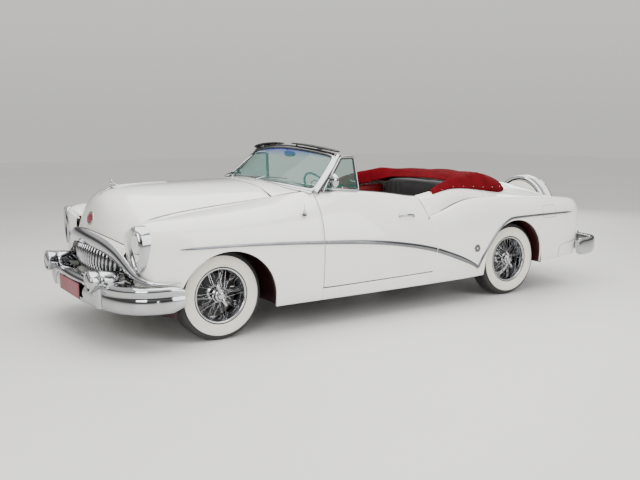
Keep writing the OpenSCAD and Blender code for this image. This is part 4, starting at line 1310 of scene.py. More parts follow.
class Nose:
    """Bumper, bullets, grille, brow moulding, headlamps, plate, and what stands on the hood."""

    def build(self) -> None:
        """Makes the front end."""
        self.bumper()
        self.bullets()
        self.grille()
        self.brow()
        self.headlamps()
        self.hood_trim()
        self.kept_plate()

    @staticmethod
    def line(points: Sequence, count: int) -> Array:
        """A half path given from its outer end to the centre, mirrored and smoothed, from the right to the left.

        Args:
            points: the half path, in millimetres.
            count: how many points.

        Returns:
            The whole path.
        """
        half = [[x, -y, z] for x, y, z in points]
        return smooth_path(half + [[x, -y, z] for x, y, z in half[-2::-1]], count)

    def bumper(self) -> None:
        """The deep front bumper: a rounded face with a shelf on top that narrows towards the wheel."""
        path = self.line([[2106, 978, 385], [2250, 976, 385], [2370, 948, 385], [2470, 880, 385], [2550, 750, 385],
                          [2602, 540, 385], [2628, 260, 385], [2636, 0, 385]], 121)
        y = np.abs(path[:, 1])
        shelf = np.clip((0.955 - y) / 0.12, 0, 1) ** 0.7
        end = np.clip((path[:, 0] - 2.09) / 0.09, 0, 1) ** 0.5
        base = np.array([[0.030, -0.086], [0.028, 0.060], [0.034, 0.100], [0.034, 0.108], [0.012, 0.110],
                         [-0.006, 0.104], [-0.016, 0.090], [-0.020, 0.074], [-0.017, 0.058], [-0.008, 0.046],
                         [-0.006, 0.038], [-0.012, 0.022], [-0.017, -0.008], [-0.015, -0.045], [-0.006, -0.076],
                         [0.010, -0.090]])
        section = np.repeat(base[None], len(path), 0)
        section[:, 2:4, 0] += 0.062 * shelf[:, None]
        section[..., 1] *= (0.50 + 0.50 * end)[:, None]
        section[..., 1] += 0.012 * (1 - end)[:, None]
        piece("front_bumper_bar", carried(path, section), [CHROME], stands_for=["front_bumper"],
              slot="chrome_trim", smooth_angle=50)
        bolts = []
        for i in (9, 111):
            side = np.sign(path[i, 1])
            out = np.array([0.55, 0.83 * side, 0])
            bolts.append(lathe([(0, -0.004), (0.017, -0.004), (0.016, 0.003), (0.010, 0.007), (0, 0.008)], 20)
                         .turned(tilted(out)).moved(*(path[i] + out * 0.019)))
        piece("front_bumper_bolts", joined(bolts), [CHROME], slot="chrome_trim")
        irons = joined(block((2.30, s * 0.43 - 0.02, 0.305), (2.60, s * 0.43 + 0.02, 0.345)) for s in (1, -1))
        piece("front_bumper_irons", irons, [DARK_METAL], slot="chrome_trim", bevel=0.003)

    def bullets(self) -> None:
        """The two bumper bullets, each a domed disc in a grooved ring on a long shell, with its guard below."""
        mm = [(0, -104), (62, -98), (68, -60), (72, 0), (75, 52), (76, 72), (73, 75), (73, 79), (77, 82), (80, 112),
              (83, 138), (84, 149), (82.5, 157), (77, 161.5), (70, 161), (66, 156), (64, 145), (55, 144), (53, 150),
              (50, 157), (44, 161), (25, 164.5), (0, 166)]
        profile = [(r * MM, z * MM) for r, z in mm]
        finish = [0] * 15 + [1, 1, 0, 0, 0, 0, 0]
        at = np.array([2.522, 0.560, 0.508])
        shell = lathe(profile, 56, finish).turned(TO_X).moved(*at)
        z = np.linspace(0.312, 0.470, 9)
        swell = np.sin(np.pi * np.clip((z - 0.29) / 0.28, 0, 1))
        path = np.stack([2.588 + 0.018 * swell, 0 * z + 0.560, z], -1)
        ring = oval(0.034, 0.060, 20, 2.6)
        section = ring[None] * (0.80 + 0.20 * swell)[:, None, None]
        guard = carried(path, section, up=(0, 1, 0))
        feet = []
        for a in np.radians([90, 210, 330]):
            c, s = np.cos(a), np.sin(a)
            feet.append(rod(at + np.array([0.152, 0.052 * c, 0.052 * s]), at + np.array([0.152, 0.068 * c, 0.068 * s]),
                            0.008, 8))
        for side, name in SIDES:
            piece(f"bullet_{name}", (shell + joined(feet)).sided(side), [CHROME, BLACK_GLOSS], slot="chrome_trim",
                  smooth_angle=50)
            piece(f"bullet_guard_{name}", guard.sided(side), [CHROME], slot="chrome_trim")

    def grille(self) -> None:
        """Upright rounded bars that bulge forward before a flat black sheet, painted shade that stands for the hollow
        behind them.
        """
        bars = []
        for i in range(-9, 10):
            y = 0.0595 * i
            x = 2.300 + 0.112 * np.sqrt(1 - (y / 0.560) ** 2)
            drop = 0.10 * (abs(y) / 0.56) ** 2
            line = smooth_path([[x / MM - 6, y / MM, 462], [x / MM + 42, y / MM, 476], [x / MM + 70, y / MM, 526],
                                [x / MM + 78, y / MM, 600 - 20 * drop], [x / MM + 64, y / MM, 670 - 250 * drop],
                                [x / MM + 30, y / MM, 712 - 420 * drop]], 22)
            bars.append(carried(line, oval(0.0100, 0.0165, 14, 2.3), up=(1.0, 0, 0.02)))
        piece("grille_bars", joined(bars), [CHROME], stands_for=["grille"], slot="chrome_trim")
        # Flat black sheet just behind the bars: painted shade in place of the hollow behind the grille.
        y = np.linspace(-0.60, 0.60, 41)
        z = np.linspace(0.440, 0.748, 12)
        bow = 0.060 * np.sqrt(np.clip(1 - (y / 0.62) ** 2, 0, 1))
        grid = np.stack([np.broadcast_to((2.322 + bow)[:, None], (41, 12)), np.broadcast_to(y[:, None], (41, 12)),
                         np.broadcast_to(z, (41, 12))], -1)
        piece("grille_hollow", surface(grid), [BLACK_GLOSS], wall=0.003)
        apron = np.stack([np.linspace([2.36, 0.440], [2.55, 0.425], 6)] * 1)[0]
        grid = np.stack([np.broadcast_to(apron[:, 0][None], (41, 6)) + (bow[:, None] - 0.06) * 1.4,
                         np.broadcast_to(y[:, None], (41, 6)), np.broadcast_to(apron[:, 1][None], (41, 6))], -1)
        piece("grille_apron", surface(grid, flip=True), [IVORY], slot="body_paint", wall=0.003)

    def brow(self) -> None:
        """The broad chrome brow over the grille, creased along its middle and drawn out to a fin at each side."""
        path = self.line([[2130, 976, 512], [2230, 966, 511], [2300, 940, 513], [2354, 898, 522], [2398, 830, 543],
                          [2424, 745, 580],
                          [2438, 655, 624], [2456, 560, 674], [2484, 430, 722], [2512, 300, 752], [2534, 150, 770],
                          [2540, 0, 776]], 161)
        y = np.abs(path[:, 1])
        tall = np.interp(y, [0, 0.3, 0.56, 0.72, 0.85, 0.93, 0.978], [1.60, 1.60, 1.50, 1.25, 0.80, 0.45, 0.12])
        deep = np.interp(y, [0, 0.6, 0.85, 0.95], [1.0, 1.0, 0.8, 0.5])
        base = np.array([[0.014, -0.030], [0.020, 0.000], [0.016, 0.030], [0.006, 0.035], [-0.004, 0.033],
                         [-0.016, 0.020], [-0.024, 0.002], [-0.020, -0.010], [-0.012, -0.024], [-0.002, -0.034]])
        section = base[None] * np.stack([deep, tall], -1)[:, None]
        v = np.linspace(-4, 4, 61)
        edge = HOOD.at(0 * v, v) + np.array([0.001, 0, -0.007])
        edge[[0, -1], 1] = (-0.612, 0.612)
        low = np.stack([np.interp(edge[:, 1], path[:, 1], path[:, k]) for k in range(3)], -1)
        low += np.array([-0.006, 0, 0.010])
        share = np.linspace(0, 1, 6)[:, None, None]
        fill = edge * (1 - share) + low * share
        fill[..., 0] += 0.004 * np.sin(np.pi * share[..., 0])
        piece("nose_panel", surface(fill, flip=True), [IVORY], slot="body_paint", wall=0.004)
        piece("grille_brow", carried(path, section), [CHROME], stands_for=["grille_moulding"], slot="chrome_trim",
              smooth_angle=50)

    def headlamps(self) -> None:
        """Upright oval headlamps: a deep bezel round a sealed lamp above a small parking lamp."""
        a = np.linspace(0, 2 * np.pi, 64, endpoint=False)
        narrow = 1 + 0.10 * np.sin(a)
        loop = np.stack([0.082 * np.cos(a) * narrow, 0.166 * np.sin(a), 0 * a], -1)
        section = np.array([[-0.002, -0.040], [0.018, -0.040], [0.025, 0.010], [0.028, 0.040], [0.021, 0.053],
                            [0.011, 0.060], [0.001, 0.053], [-0.005, 0.034], [-0.005, 0.010]])
        bezel = carried(loop, section, up=(0, 0, 1), closed=True)
        k = np.linspace(0, 1, 10)[:, None, None]
        dish = loop[None] * np.array([1, 1, 0]) * (0.02 + 0.72 * k) + np.array([0, 0, 0.014]) * (1 + k)
        plate = tube(dish[::-1], caps=True)
        lamp_y, park_y = 0.038, -0.100
        ring = lathe([(0.066, 0.010), (0.0735, 0.014), (0.0755, 0.030), (0.0735, 0.040), (0.069, 0.042),
                      (0.0665, 0.036), (0.0655, 0.020)], 48, closed=True).moved(0, lamp_y, 0)
        bowl = lathe([(0.0, 0.012), (0.0, 0.0121), (0.02, 0.013), (0.045, 0.020), (0.066, 0.033)], 40)
        bowl = bowl.moved(0, lamp_y, 0)
        lens = lathe([(0.0670, 0.034), (0.060, 0.0385), (0.045, 0.0440), (0.025, 0.0480), (0, 0.0495)], 40)
        flutes = lens.moved(0, lamp_y, 0)
        small = lathe([(0.024, 0.018), (0.023, 0.026), (0.015, 0.033), (0, 0.036)], 28).moved(0, park_y, 0)
        collar = lathe([(0.0235, 0.012), (0.030, 0.014), (0.030, 0.024), (0.0265, 0.030), (0.0235, 0.026)], 28,
                       closed=True).moved(0, park_y, 0)
        rows = tilted((0.990, 0.140, -0.045))

        def place(shape: Shape, side: float) -> Shape:
            """Carries a lamp's shape to its fender."""
            return shape.turned(rows).moved(2.370, 0.842, 0.760).sided(side)

        for n, (side, name) in enumerate(SIDES):
            piece(f"headlamp_{name}_bezel", place(bezel, side), [CHROME],
                  stands_for=["headlamps"] if n == 0 else (), slot="lamp_chrome", smooth_angle=50)
            piece(f"headlamp_{name}_seat", place(plate + ring + collar, side), [CHROME], slot="lamp_chrome")
            piece(f"headlamp_{name}_bowl", place(bowl, side), [REFLECTOR], slot="lamp_chrome", wall=0.0006)
            piece(f"headlamp_{name}_lens", place(flutes, side), [LENS], slot="lamp_chrome", wall=0.002)
            piece(f"parking_lamp_{name}", place(small, side), [REFLECTOR], slot="lamp_chrome", wall=0.001)

    def hood_trim(self) -> None:
        """The blank oval badge, the ringed ornament with its wings, and the strip along the hood."""
        u, v = HOOD.find(np.array([0.0]), np.array([0.908]), axes=(1, 2), low=0.0)
        at, out = HOOD.at(u, v)[0], HOOD.normal(u, v)[0]
        a = np.linspace(0, 2 * np.pi, 48, endpoint=False)
        loop = np.stack([0.062 * np.cos(a), 0.044 * np.sin(a), 0 * a], -1)
        ring = carried(loop, oval(0.011, 0.008, 12), closed=True)
        dome = [(loop * np.array([k, k, 0]) + np.array([0, 0, 0.004 + 0.006 * (1 - k * k)]))
                for k in (0.96, 0.8, 0.5, 0.2)]
        badge = (ring + tube(np.stack(dome), finish=1)).turned(tilted(out)).moved(*at)
        piece("hood_badge", badge, [CHROME, RED_PLATE], "hood", slot="chrome_trim")
        x = np.linspace(2.395, 1.820, 50)
        uu, _ = HOOD.find(x, 0 * x, axes=(0, 1), low=0.0)
        spine = proud(HOOD, uu, 0 * uu, 0.003)
        wide = np.interp(x, [1.82, 2.15, 2.28, 2.34, 2.395], [0.0012, 0.006, 0.016, 0.013, 0.003])
        tall = np.interp(x, [1.82, 2.15, 2.28, 2.34, 2.395], [0.002, 0.006, 0.012, 0.008, 0.003])
        ring = oval(1, 1, 14)
        strip = carried(spine, ring[None] * np.stack([wide, tall], -1)[:, None])
        top = spine[np.argmin(np.abs(x - 2.275))]
        hoop = np.stack([0 * a, 0.021 * np.cos(a), 0.021 * np.sin(a)], -1)
        hoop = carried(hoop + top + np.array([0.012, 0, 0.042]), oval(0.0042, 0.0050, 8), up=(1, 0, 0), closed=True)
        dart = smooth_path([[-46, 0, 10], [-20, 0, 22], [10, 0, 40], [30, 0, 44]], 12) + top
        dart = carried(dart, ring[None] * np.interp(np.arange(12), [0, 3, 8, 11], [0.010, 0.009, 0.006, 0.002])
                       [:, None, None])
        post = rod(top + np.array([0.010, 0, 0]), top + np.array([0.012, 0, 0.024]), 0.006)
        wings = []
        for side, _ in SIDES:
            tip = smooth_path([[20, 0, 4], [4, 26, 2], [-40, 54, -4]], 10) + top
            wings.append(carried(tip, oval(0.012, 0.004, 10)[None] * np.linspace(1, 0.35, 10)[:, None, None])
                         .sided(side))
        piece("hood_ornament", strip + hoop + dart + post + joined(wings), [CHROME], "hood", slot="chrome_trim")

    def kept_plate(self) -> None:
        """The plain red plate with a dark edge, and its bracket."""
        plate = block((2.6560, -0.256, 0.329), (2.6590, 0.256, 0.441))
        back = block((2.6530, -0.262, 0.323), (2.6562, 0.262, 0.447))
        screws = joined(rod((2.6585, s * 0.19, 0.385), (2.6612, s * 0.19, 0.385), 0.006, 10) for s in (1, -1))
        piece("front_plate_face", plate, [RED_PLATE], stands_for=["front_plate"], slot="plate_paint", bevel=0.001)
        piece("front_plate_back", back + screws.finished(1), [BLACK_TRIM, CHROME], slot="plate_paint", bevel=0.001)


# ---------------------------------------------------------------- side trim


BAND = np.array([[1.0, 0.0], [0.8, 0.62], [0.34, 1.0], [-0.34, 1.0], [-0.8, 0.62], [-1.0, 0.0], [-1.0, -0.3],
                 [1.0, -0.3]])


def band_on(net: Net, x: Array, z: Array, half: Array, height: float) -> Shape:
    """A rounded moulding lying on the outer side of a net, through the places whose side view is (x, z).

    Args:
        net: the side's net.
        x: places along the car, in metres, nose first.
        z: their heights.
        half: half the moulding's width at each place.
        height: how far it stands out.

    Returns:
        The closed moulding.
    """
    u, v = net.find(x, z, low=1.2)
    section = BAND[None] * np.stack([half, np.full(len(x), height)], -1)[:, None]
    return carried(net.at(u, v), section, up=net.normal(u, v))


class SideTrim:
    """The long spear, its kick-up over the rear wheel, medallions, fender darts and the fuel door."""

    spear = [[2119, 748], [1978, 747], [1736, 745], [1482, 738], [1124, 722], [918, 708], [644, 691], [336, 662],
             [121, 631], [-102, 591], [-287, 546], [-394, 513], [-612, 436], [-790, 357], [-824, 330]]
    kick = [[-828, 333], [-852, 385], [-895, 458], [-946, 532], [-1000, 604], [-1060, 668], [-1110, 708],
            [-1170, 741], [-1230, 760], [-1300, 768], [-1530, 771], [-1800, 771], [-2045, 770], [-2150, 769]]

    def build(self) -> None:
        """Makes the trim of both sides."""
        line = smooth_path(self.spear, 400)
        x, z = line[:, 0], line[:, 1]
        half = np.interp(-x, [-2.12, -2.02, -1.30, -0.60, 0.10, 0.60, 0.824],
                         [0.0025, 0.0095, 0.0120, 0.0165, 0.0210, 0.0220, 0.0140])
        rise = smooth_path(self.kick, 90)
        for side, name in SIDES:
            for tag, body, net, keep in (
                ("fender", "body", SIDE, x > 0.8955), ("door", f"door_{name}", SIDE, (x < 0.8895) & (x > -0.303)),
                ("quarter", "body", REAR, x < -0.309),
            ):
                i = np.flatnonzero(keep)
                i = np.unique(np.concatenate([i[::4], i[-1:]]))
                # The side spear uses the darker chrome: painted dark reflection.
                piece(f"spear_{tag}_{name}", band_on(net, x[i], z[i], half[i], 0.011).sided(side), [SHADED_TRIM_CHROME], body,
                      slot="chrome_trim")
            width = np.interp(np.arange(90), [0, 12, 40, 84, 89], [0.0150, 0.0140, 0.0120, 0.0095, 0.003])
            band = band_on(REAR, rise[:, 0], rise[:, 1], width, 0.010)
            piece(f"kick_up_{name}", band.sided(side), [SHADED_TRIM_CHROME], slot="chrome_trim")
            self._badges(side, name)
            self._fuel_door(side, name)

    def _badges(self, side: float, name: str) -> None:
        """A blank six-sided medallion ahead of the rear wheel and a small dart on the front fender.

        Args:
            side: 1 for the left, -1 for the right.
            name: the side's name.
        """
        u, v = REAR.find(np.array([-0.790]), np.array([0.517]))
        at, out = REAR.at(u, v)[0], REAR.normal(u, v)[0]
        ring = lathe([(0, -0.002), (0.041, -0.002), (0.041, 0.004), (0.036, 0.009), (0.032, 0.006), (0.015, 0.006),
                      (0.012, 0.010), (0, 0.011)], 6, [0, 0, 0, 0, 1, 0, 0])
        piece(f"medallion_{name}", ring.turned(tilted(out)).moved(*at).sided(side), [CHROME, BLACK_GLOSS],
              slot="chrome_trim", bevel=0.0006, smooth_angle=20)
        u, v = SIDE.find(np.array([1.055]), np.array([0.935]), low=1.8)
        at, out = SIDE.at(u, v)[0], SIDE.normal(u, v)[0]
        cone = lathe([(0, -0.016), (0.017, -0.014), (0.0185, -0.006), (0.016, 0.000), (0.010, 0.018), (0.0045, 0.034),
                      (0.0022, 0.044), (0.0018, 0.076), (0, 0.078)], 20, [1, 1, 1, 0, 0, 0, 0, 0])
        foot = rod(at - out * 0.006, at + out * 0.012, 0.006)
        piece(f"fender_dart_{name}", (cone.moved(*(at + out * 0.016)) + foot).sided(side), [CHROME, BLACK_GLOSS],
              slot="chrome_trim")

    def _fuel_door(self, side: float, name: str) -> None:
        """The shut line of the fuel door, drawn on the left side only.

        Args:
            side: 1 for the left, -1 for the right.
            name: the side's name.
        """
        c, s = np.array([-1.790, 0.796]), np.array([0.096, 0.060])
        a = np.linspace(0, 2 * np.pi, 72, endpoint=False)
        x = c[0] + s[0] * np.sign(np.cos(a)) * np.abs(np.cos(a)) ** 0.16
        z = c[1] + s[1] * np.sign(np.sin(a)) * np.abs(np.sin(a)) ** 0.16
        u, v = REAR.find(x, z)
        groove = carried(REAR.at(u, v), oval(0.0016, 0.0006, 6), up=REAR.normal(u, v), closed=True)
        if side > 0:
            piece(f"fuel_door_line_{name}", groove.sided(side), [BLACK_TRIM])


# ---------------------------------------------------------------- windscreen


class Screen:
    """The curved windscreen with its chrome frame, rubber, glass, visors, mirror and wipers."""

    @staticmethod
    def loop(u_in: float, v_in: float, depth: float, count: int = 260, power: float = 11.0) -> tuple[Array, Array]:
        """A rounded rectangle on the screen's net: u = 1.02 + a sgn(s)|s|^(2/p), v = b sgn(c)|c|^(2/p).

        Args:
            u_in: how far it stays inside the base and the header, in stations.
            v_in: how far it stays inside the posts, in rows.
            depth: how far below the net it lies, in metres.
            count: how many places.
            power: how square it is.

        Returns:
            The places, evenly spaced, and the net's normals there.
        """
        a = np.linspace(0, 2 * np.pi, 4000, endpoint=False) + 0.3
        c, s = np.cos(a), np.sin(a)
        u = 1.02 + (0.955 - u_in) * np.sign(s) * np.abs(s) ** (2 / power)
        v = (3.95 - v_in) * np.sign(c) * np.abs(c) ** (2 / power)
        p = SCREEN.at(u, v)
        run = np.concatenate([[0], np.cumsum(np.linalg.norm(np.diff(p, axis=0), axis=1))])
        at = np.linspace(0, run[-1], count, endpoint=False)
        u, v = np.interp(at, run, u), np.interp(at, run, v)
        n = SCREEN.normal(u, v)
        return SCREEN.at(u, v) - depth * n, n

    def build(self) -> None:
        """Makes the windscreen."""
        path, n = self.loop(0.035, 0.07, 0.012)
        frame = carried(path, oval(0.0175, 0.0145, 14, 3.0), up=n, closed=True)
        piece("screen_frame", frame, [CHROME], stands_for=["windshield_frame"], slot="chrome_trim")
        path, n = self.loop(0.105, 0.215, 0.010)
        piece("screen_rubber", carried(path, oval(0.0075, 0.0085, 8, 3.0), up=n, closed=True), [RUBBER])
        us, vs = np.linspace(0.13, 1.92, 26), np.linspace(-3.78, 3.78, 73)
        glass = surface(proud(SCREEN, us[:, None], vs[None], -0.010), flip=True)
        piece("screen_glass", glass, [GREEN_GLASS], stands_for=["windshield_glass"], slot="clear_glass", wall=0.005)
        self._posts()
        self._base()
        self._visors()
        self._mirror()
        self._wipers()

    def _posts(self) -> None:
        """The broad outer faces of the two posts, with a rubber along each for the quarter light."""
        u = np.linspace(0.10, 1.99, 30)
        edge, n = SCREEN.at(u, 3.93 + 0 * u), SCREEN.normal(u, 3.93 + 0 * u)
        run = np.gradient(edge, axis=0)
        out = np.cross(run, n)
        out /= np.linalg.norm(out, axis=1, keepdims=True)
        out *= np.sign(out[:, 1:2])
        for side, name in SIDES:
            post = carried(edge + 0.016 * out - 0.010 * n, oval(0.021, 0.013, 18, 2.2), up=n)
            seal = carried(edge + 0.041 * out - 0.011 * n, oval(0.0060, 0.009, 8, 3.0), up=n)
            piece(f"screen_post_{name}", post.sided(side), [CHROME], slot="chrome_trim")
            piece(f"screen_seal_{name}", seal.sided(side), [RUBBER])

    def _base(self) -> None:
        """The bright strip between the glass and the cowl, and the gasket on the header for the folding top."""
        v = np.linspace(-3.9, 3.9, 81)
        low = proud(SCREEN, np.full(81, -0.02), v, 0.004)
        piece("screen_base_strip", carried(low, oval(0.010, 0.009, 8, 2.5), up=SCREEN.normal(0.0 * v, v)), [CHROME],
              slot="chrome_trim")
        v = np.linspace(-3.6, 3.6, 81)
        top = proud(SCREEN, np.full(81, 1.99), v, -0.006)
        piece("header_gasket", carried(top, oval(0.020, 0.0085, 8, 2.5), up=(0, 0, 1)), [BLACK_TRIM])
        catches = joined(block((0.600, s * 0.50 - 0.02, 1.428), (0.640, s * 0.50 + 0.02, 1.446)) for s in (1, -1))
        piece("top_catches", catches, [CHROME], slot="chrome_trim", bevel=0.004)

    def _visors(self) -> None:
        """Two padded dark visors swung up over the header."""
        for side, name in SIDES:
            us = np.linspace(0, 1, 22)
            ring = oval(0.070, 0.0105, 24, 2.8)
            v = 0.45 + 3.25 * us
            base = SCREEN.at(1.97 + 0 * v, v)
            path = base + np.array([-0.040, 0, 0.020])
            grow = np.clip(np.sin(np.pi * np.clip(us * 0.98 + 0.01, 0, 1)), 0.02, 1) ** 0.22
            board = carried(path, ring[None] * grow[:, None, None], up=(-0.10, 0, 0.99))
            pad = piece(f"visor_{name}", board.sided(side), [BLACK_TRIM])
            arm = rod(base[2] + np.array([0.0, 0, -0.006]), base[2] + np.array([-0.03, 0, 0.014]), 0.006)
            piece(f"visor_arm_{name}", arm.sided(side), [CHROME], slot="chrome_trim")

    def _mirror(self) -> None:
        """The inside mirror on its stalk below the header."""
        stalk = carried(smooth_path([[668, 0, 1444], [648, 0, 1420], [640, 0, 1396]], 8), oval(0.006, 0.008, 8),
                        up=(1, 0, 0.3))
        y = np.linspace(-0.095, 0.095, 15)
        path = np.stack([0.632 - 0.01 * (y / 0.095) ** 2, y, 0 * y + 1.380], -1)
        grow = np.clip(1 - np.abs(y / 0.097) ** 4, 0.05, 1) ** 0.5
        shell = carried(path, oval(0.013, 0.026, 14, 3.0)[None] * grow[:, None, None])
        face = slab(oval(0.088, 0.020, 32, 3.6), 0.001).turned(np.array([[0, -1.0, 0], [0, 0, 1.0], [-1.0, 0, 0]]))
        piece("inside_mirror", stalk + shell, [BLACK_GLOSS])
        piece("inside_mirror_face", face.moved(0.6185, 0, 1.380), [CHROME])

    def _wipers(self) -> None:
        """Two wipers parked along the foot of the glass."""
        parts = []
        for y0, y1 in ((0.40, 0.02), (-0.22, -0.60)):
            pivot = COWL.at(np.array([0.75]), np.array([y0 * 3.6]))[0]
            v = np.linspace(y0, y1 + 0.04, 12) * 4.6
            blade = proud(SCREEN, np.linspace(0.36, 0.17, 12), v, 0.008)
            parts.append(rod(pivot - np.array([0, 0, 0.006]), pivot + np.array([0.0, 0, 0.020]), 0.011))
            arm = np.linspace(pivot + np.array([0, 0, 0.016]), blade[6] + np.array([0.004, 0, 0.006]), 8)
            parts.append(carried(arm, oval(0.0045, 0.003, 8)))
            parts.append(carried(blade, oval(0.0035, 0.006, 8), up=SCREEN.normal(0.2 + 0 * v, v)))
        piece("wipers", joined(parts), [CHROME], slot="chrome_trim")


class VentWindow:
    """The hinged quarter light at the front of a door, with its posts, rubber and glass."""

    outline = [[806, 1104], [600, 1360], [575, 1372], [462, 1374], [440, 1362], [436, 1330], [412, 1100],
               [425, 1092], [790, 1092]]

    def build(self) -> None:
        """Makes both vent windows."""
        corner = np.array(self.outline, float) * MM
        n = len(corner)
        t = np.linspace(0, n, 36 * n, endpoint=False)
        i = t.astype(int)
        f = (t - i)[:, None]
        p = corner[i] * (1 - f) + corner[(i + 1) % n] * f
        for _ in range(10):
            p = 0.5 * p + 0.25 * (np.roll(p, 1, 0) + np.roll(p, -1, 0))
        p = p[::3]
        y = 0.1414 * p[:, 0] - 0.1425 * p[:, 1] + 0.8691
        path = np.stack([p[:, 0], y, p[:, 1]], -1)
        out = np.array([-0.139, 0.980, 0.140])
        middle = path.mean(0)
        inner = path + (middle - path) / np.linalg.norm(middle - path, axis=1, keepdims=True) * 0.013
        frame = carried(path, oval(0.0085, 0.0095, 10, 3.0), up=out, closed=True)
        rubber = carried(inner, oval(0.0070, 0.0075, 8, 3.0), up=out, closed=True)
        k = np.linspace(0.02, 1, 6)[:, None, None]
        pane = middle + (inner - middle)[None] * k
        pane = tube(np.stack([pane[-1] - out * 0.0025, pane[-1] + out * 0.0025]))
        pivots = rod((0.60, 0.806, 1.093), (0.60, 0.80, 1.13), 0.007) + rod((0.52, 0.748, 1.352), (0.52, 0.745, 1.374),
                                                                           0.007)
        latch = rod((0.435, 0.757, 1.16), (0.435, 0.735, 1.16), 0.008) + rod((0.435, 0.737, 1.16),
                                                                          (0.475, 0.737, 1.175), 0.005)
        for side, name in SIDES:
            body = f"door_{name}"
            piece(f"vent_frame_{name}", (frame + pivots + latch).sided(side), [CHROME], body,
                  [f"vent_window_{name}"], "chrome_trim")
            piece(f"vent_rubber_{name}", rubber.sided(side), [RUBBER], body)
            piece(f"vent_glass_{name}", pane.sided(side), [SIDE_GLASS], body, slot="clear_glass")


# ---------------------------------------------------------------- cabin


def cushion(low: Sequence, high: Sequence, pitch: float, depth: float, crown: float, lean: float = 0.0,
            upright: bool = False, power: float = 7.0, finish: int = 0) -> Shape:
    """A stuffed form: a rounded box with channels across it, fuller in the middle than at its seams.

    Its points are centre + half size x (sgn|.|^(2/p) of a sphere's), the top raised by crown (1-(x/a)^2)(1-(y/b)^2)
    and lowered by depth |cos(pi y/pitch)|^8 in each channel; lean slides it back by so much a metre of height.

    Args:
        low: lowest corner in metres.
        high: highest corner.
        pitch: distance between channels along y; 0 for none.
        depth: depth of a channel.
        crown: how much the middle swells.
        lean: slope backwards, a share of the height.
        upright: True if the swollen face looks forward rather than up.
        power: how square it is.
        finish: the finish number.

    Returns:
        The closed form.
    """
    lo, hi = np.array(low, float), np.array(high, float)
    a = np.linspace(-np.pi, np.pi, 240, endpoint=False)
    b = np.linspace(-np.pi / 2, np.pi / 2, 41)

    def sharp(w: Array) -> Array:
        """Pushes a sine towards a square wave."""
        return np.sign(w) * np.abs(w) ** (2 / power)

    A, B = np.meshgrid(a, b)
    unit = np.stack([sharp(np.cos(B)) * sharp(np.cos(A)), sharp(np.cos(B)) * sharp(np.sin(A)), sharp(np.sin(B))], -1)
    half = (hi - lo) / 2
    p = unit * half
    x, y, z = unit[..., 0], unit[..., 1], unit[..., 2]
    other = z if upright else x
    fall = (1 - other**2) * (1 - y**2)
    face = np.clip(x if upright else z, 0, 1) ** 2
    groove = np.abs(np.cos(np.pi * p[..., 1] / pitch)) ** 10 if pitch else 0.0
    lift = face * (crown * np.clip(fall, 0, 1) ** 0.5 - depth * groove * np.clip(fall * 4, 0, 1))
    p[..., 0 if upright else 2] += lift
    p = p + (lo + hi) / 2
    p[..., 0] -= lean * (p[..., 2] - lo[2])
    n, m = p.shape[:2]
    return Shape(p.reshape(-1, 3), [(grid_faces(n, m, False, True)[:, ::-1], finish)])


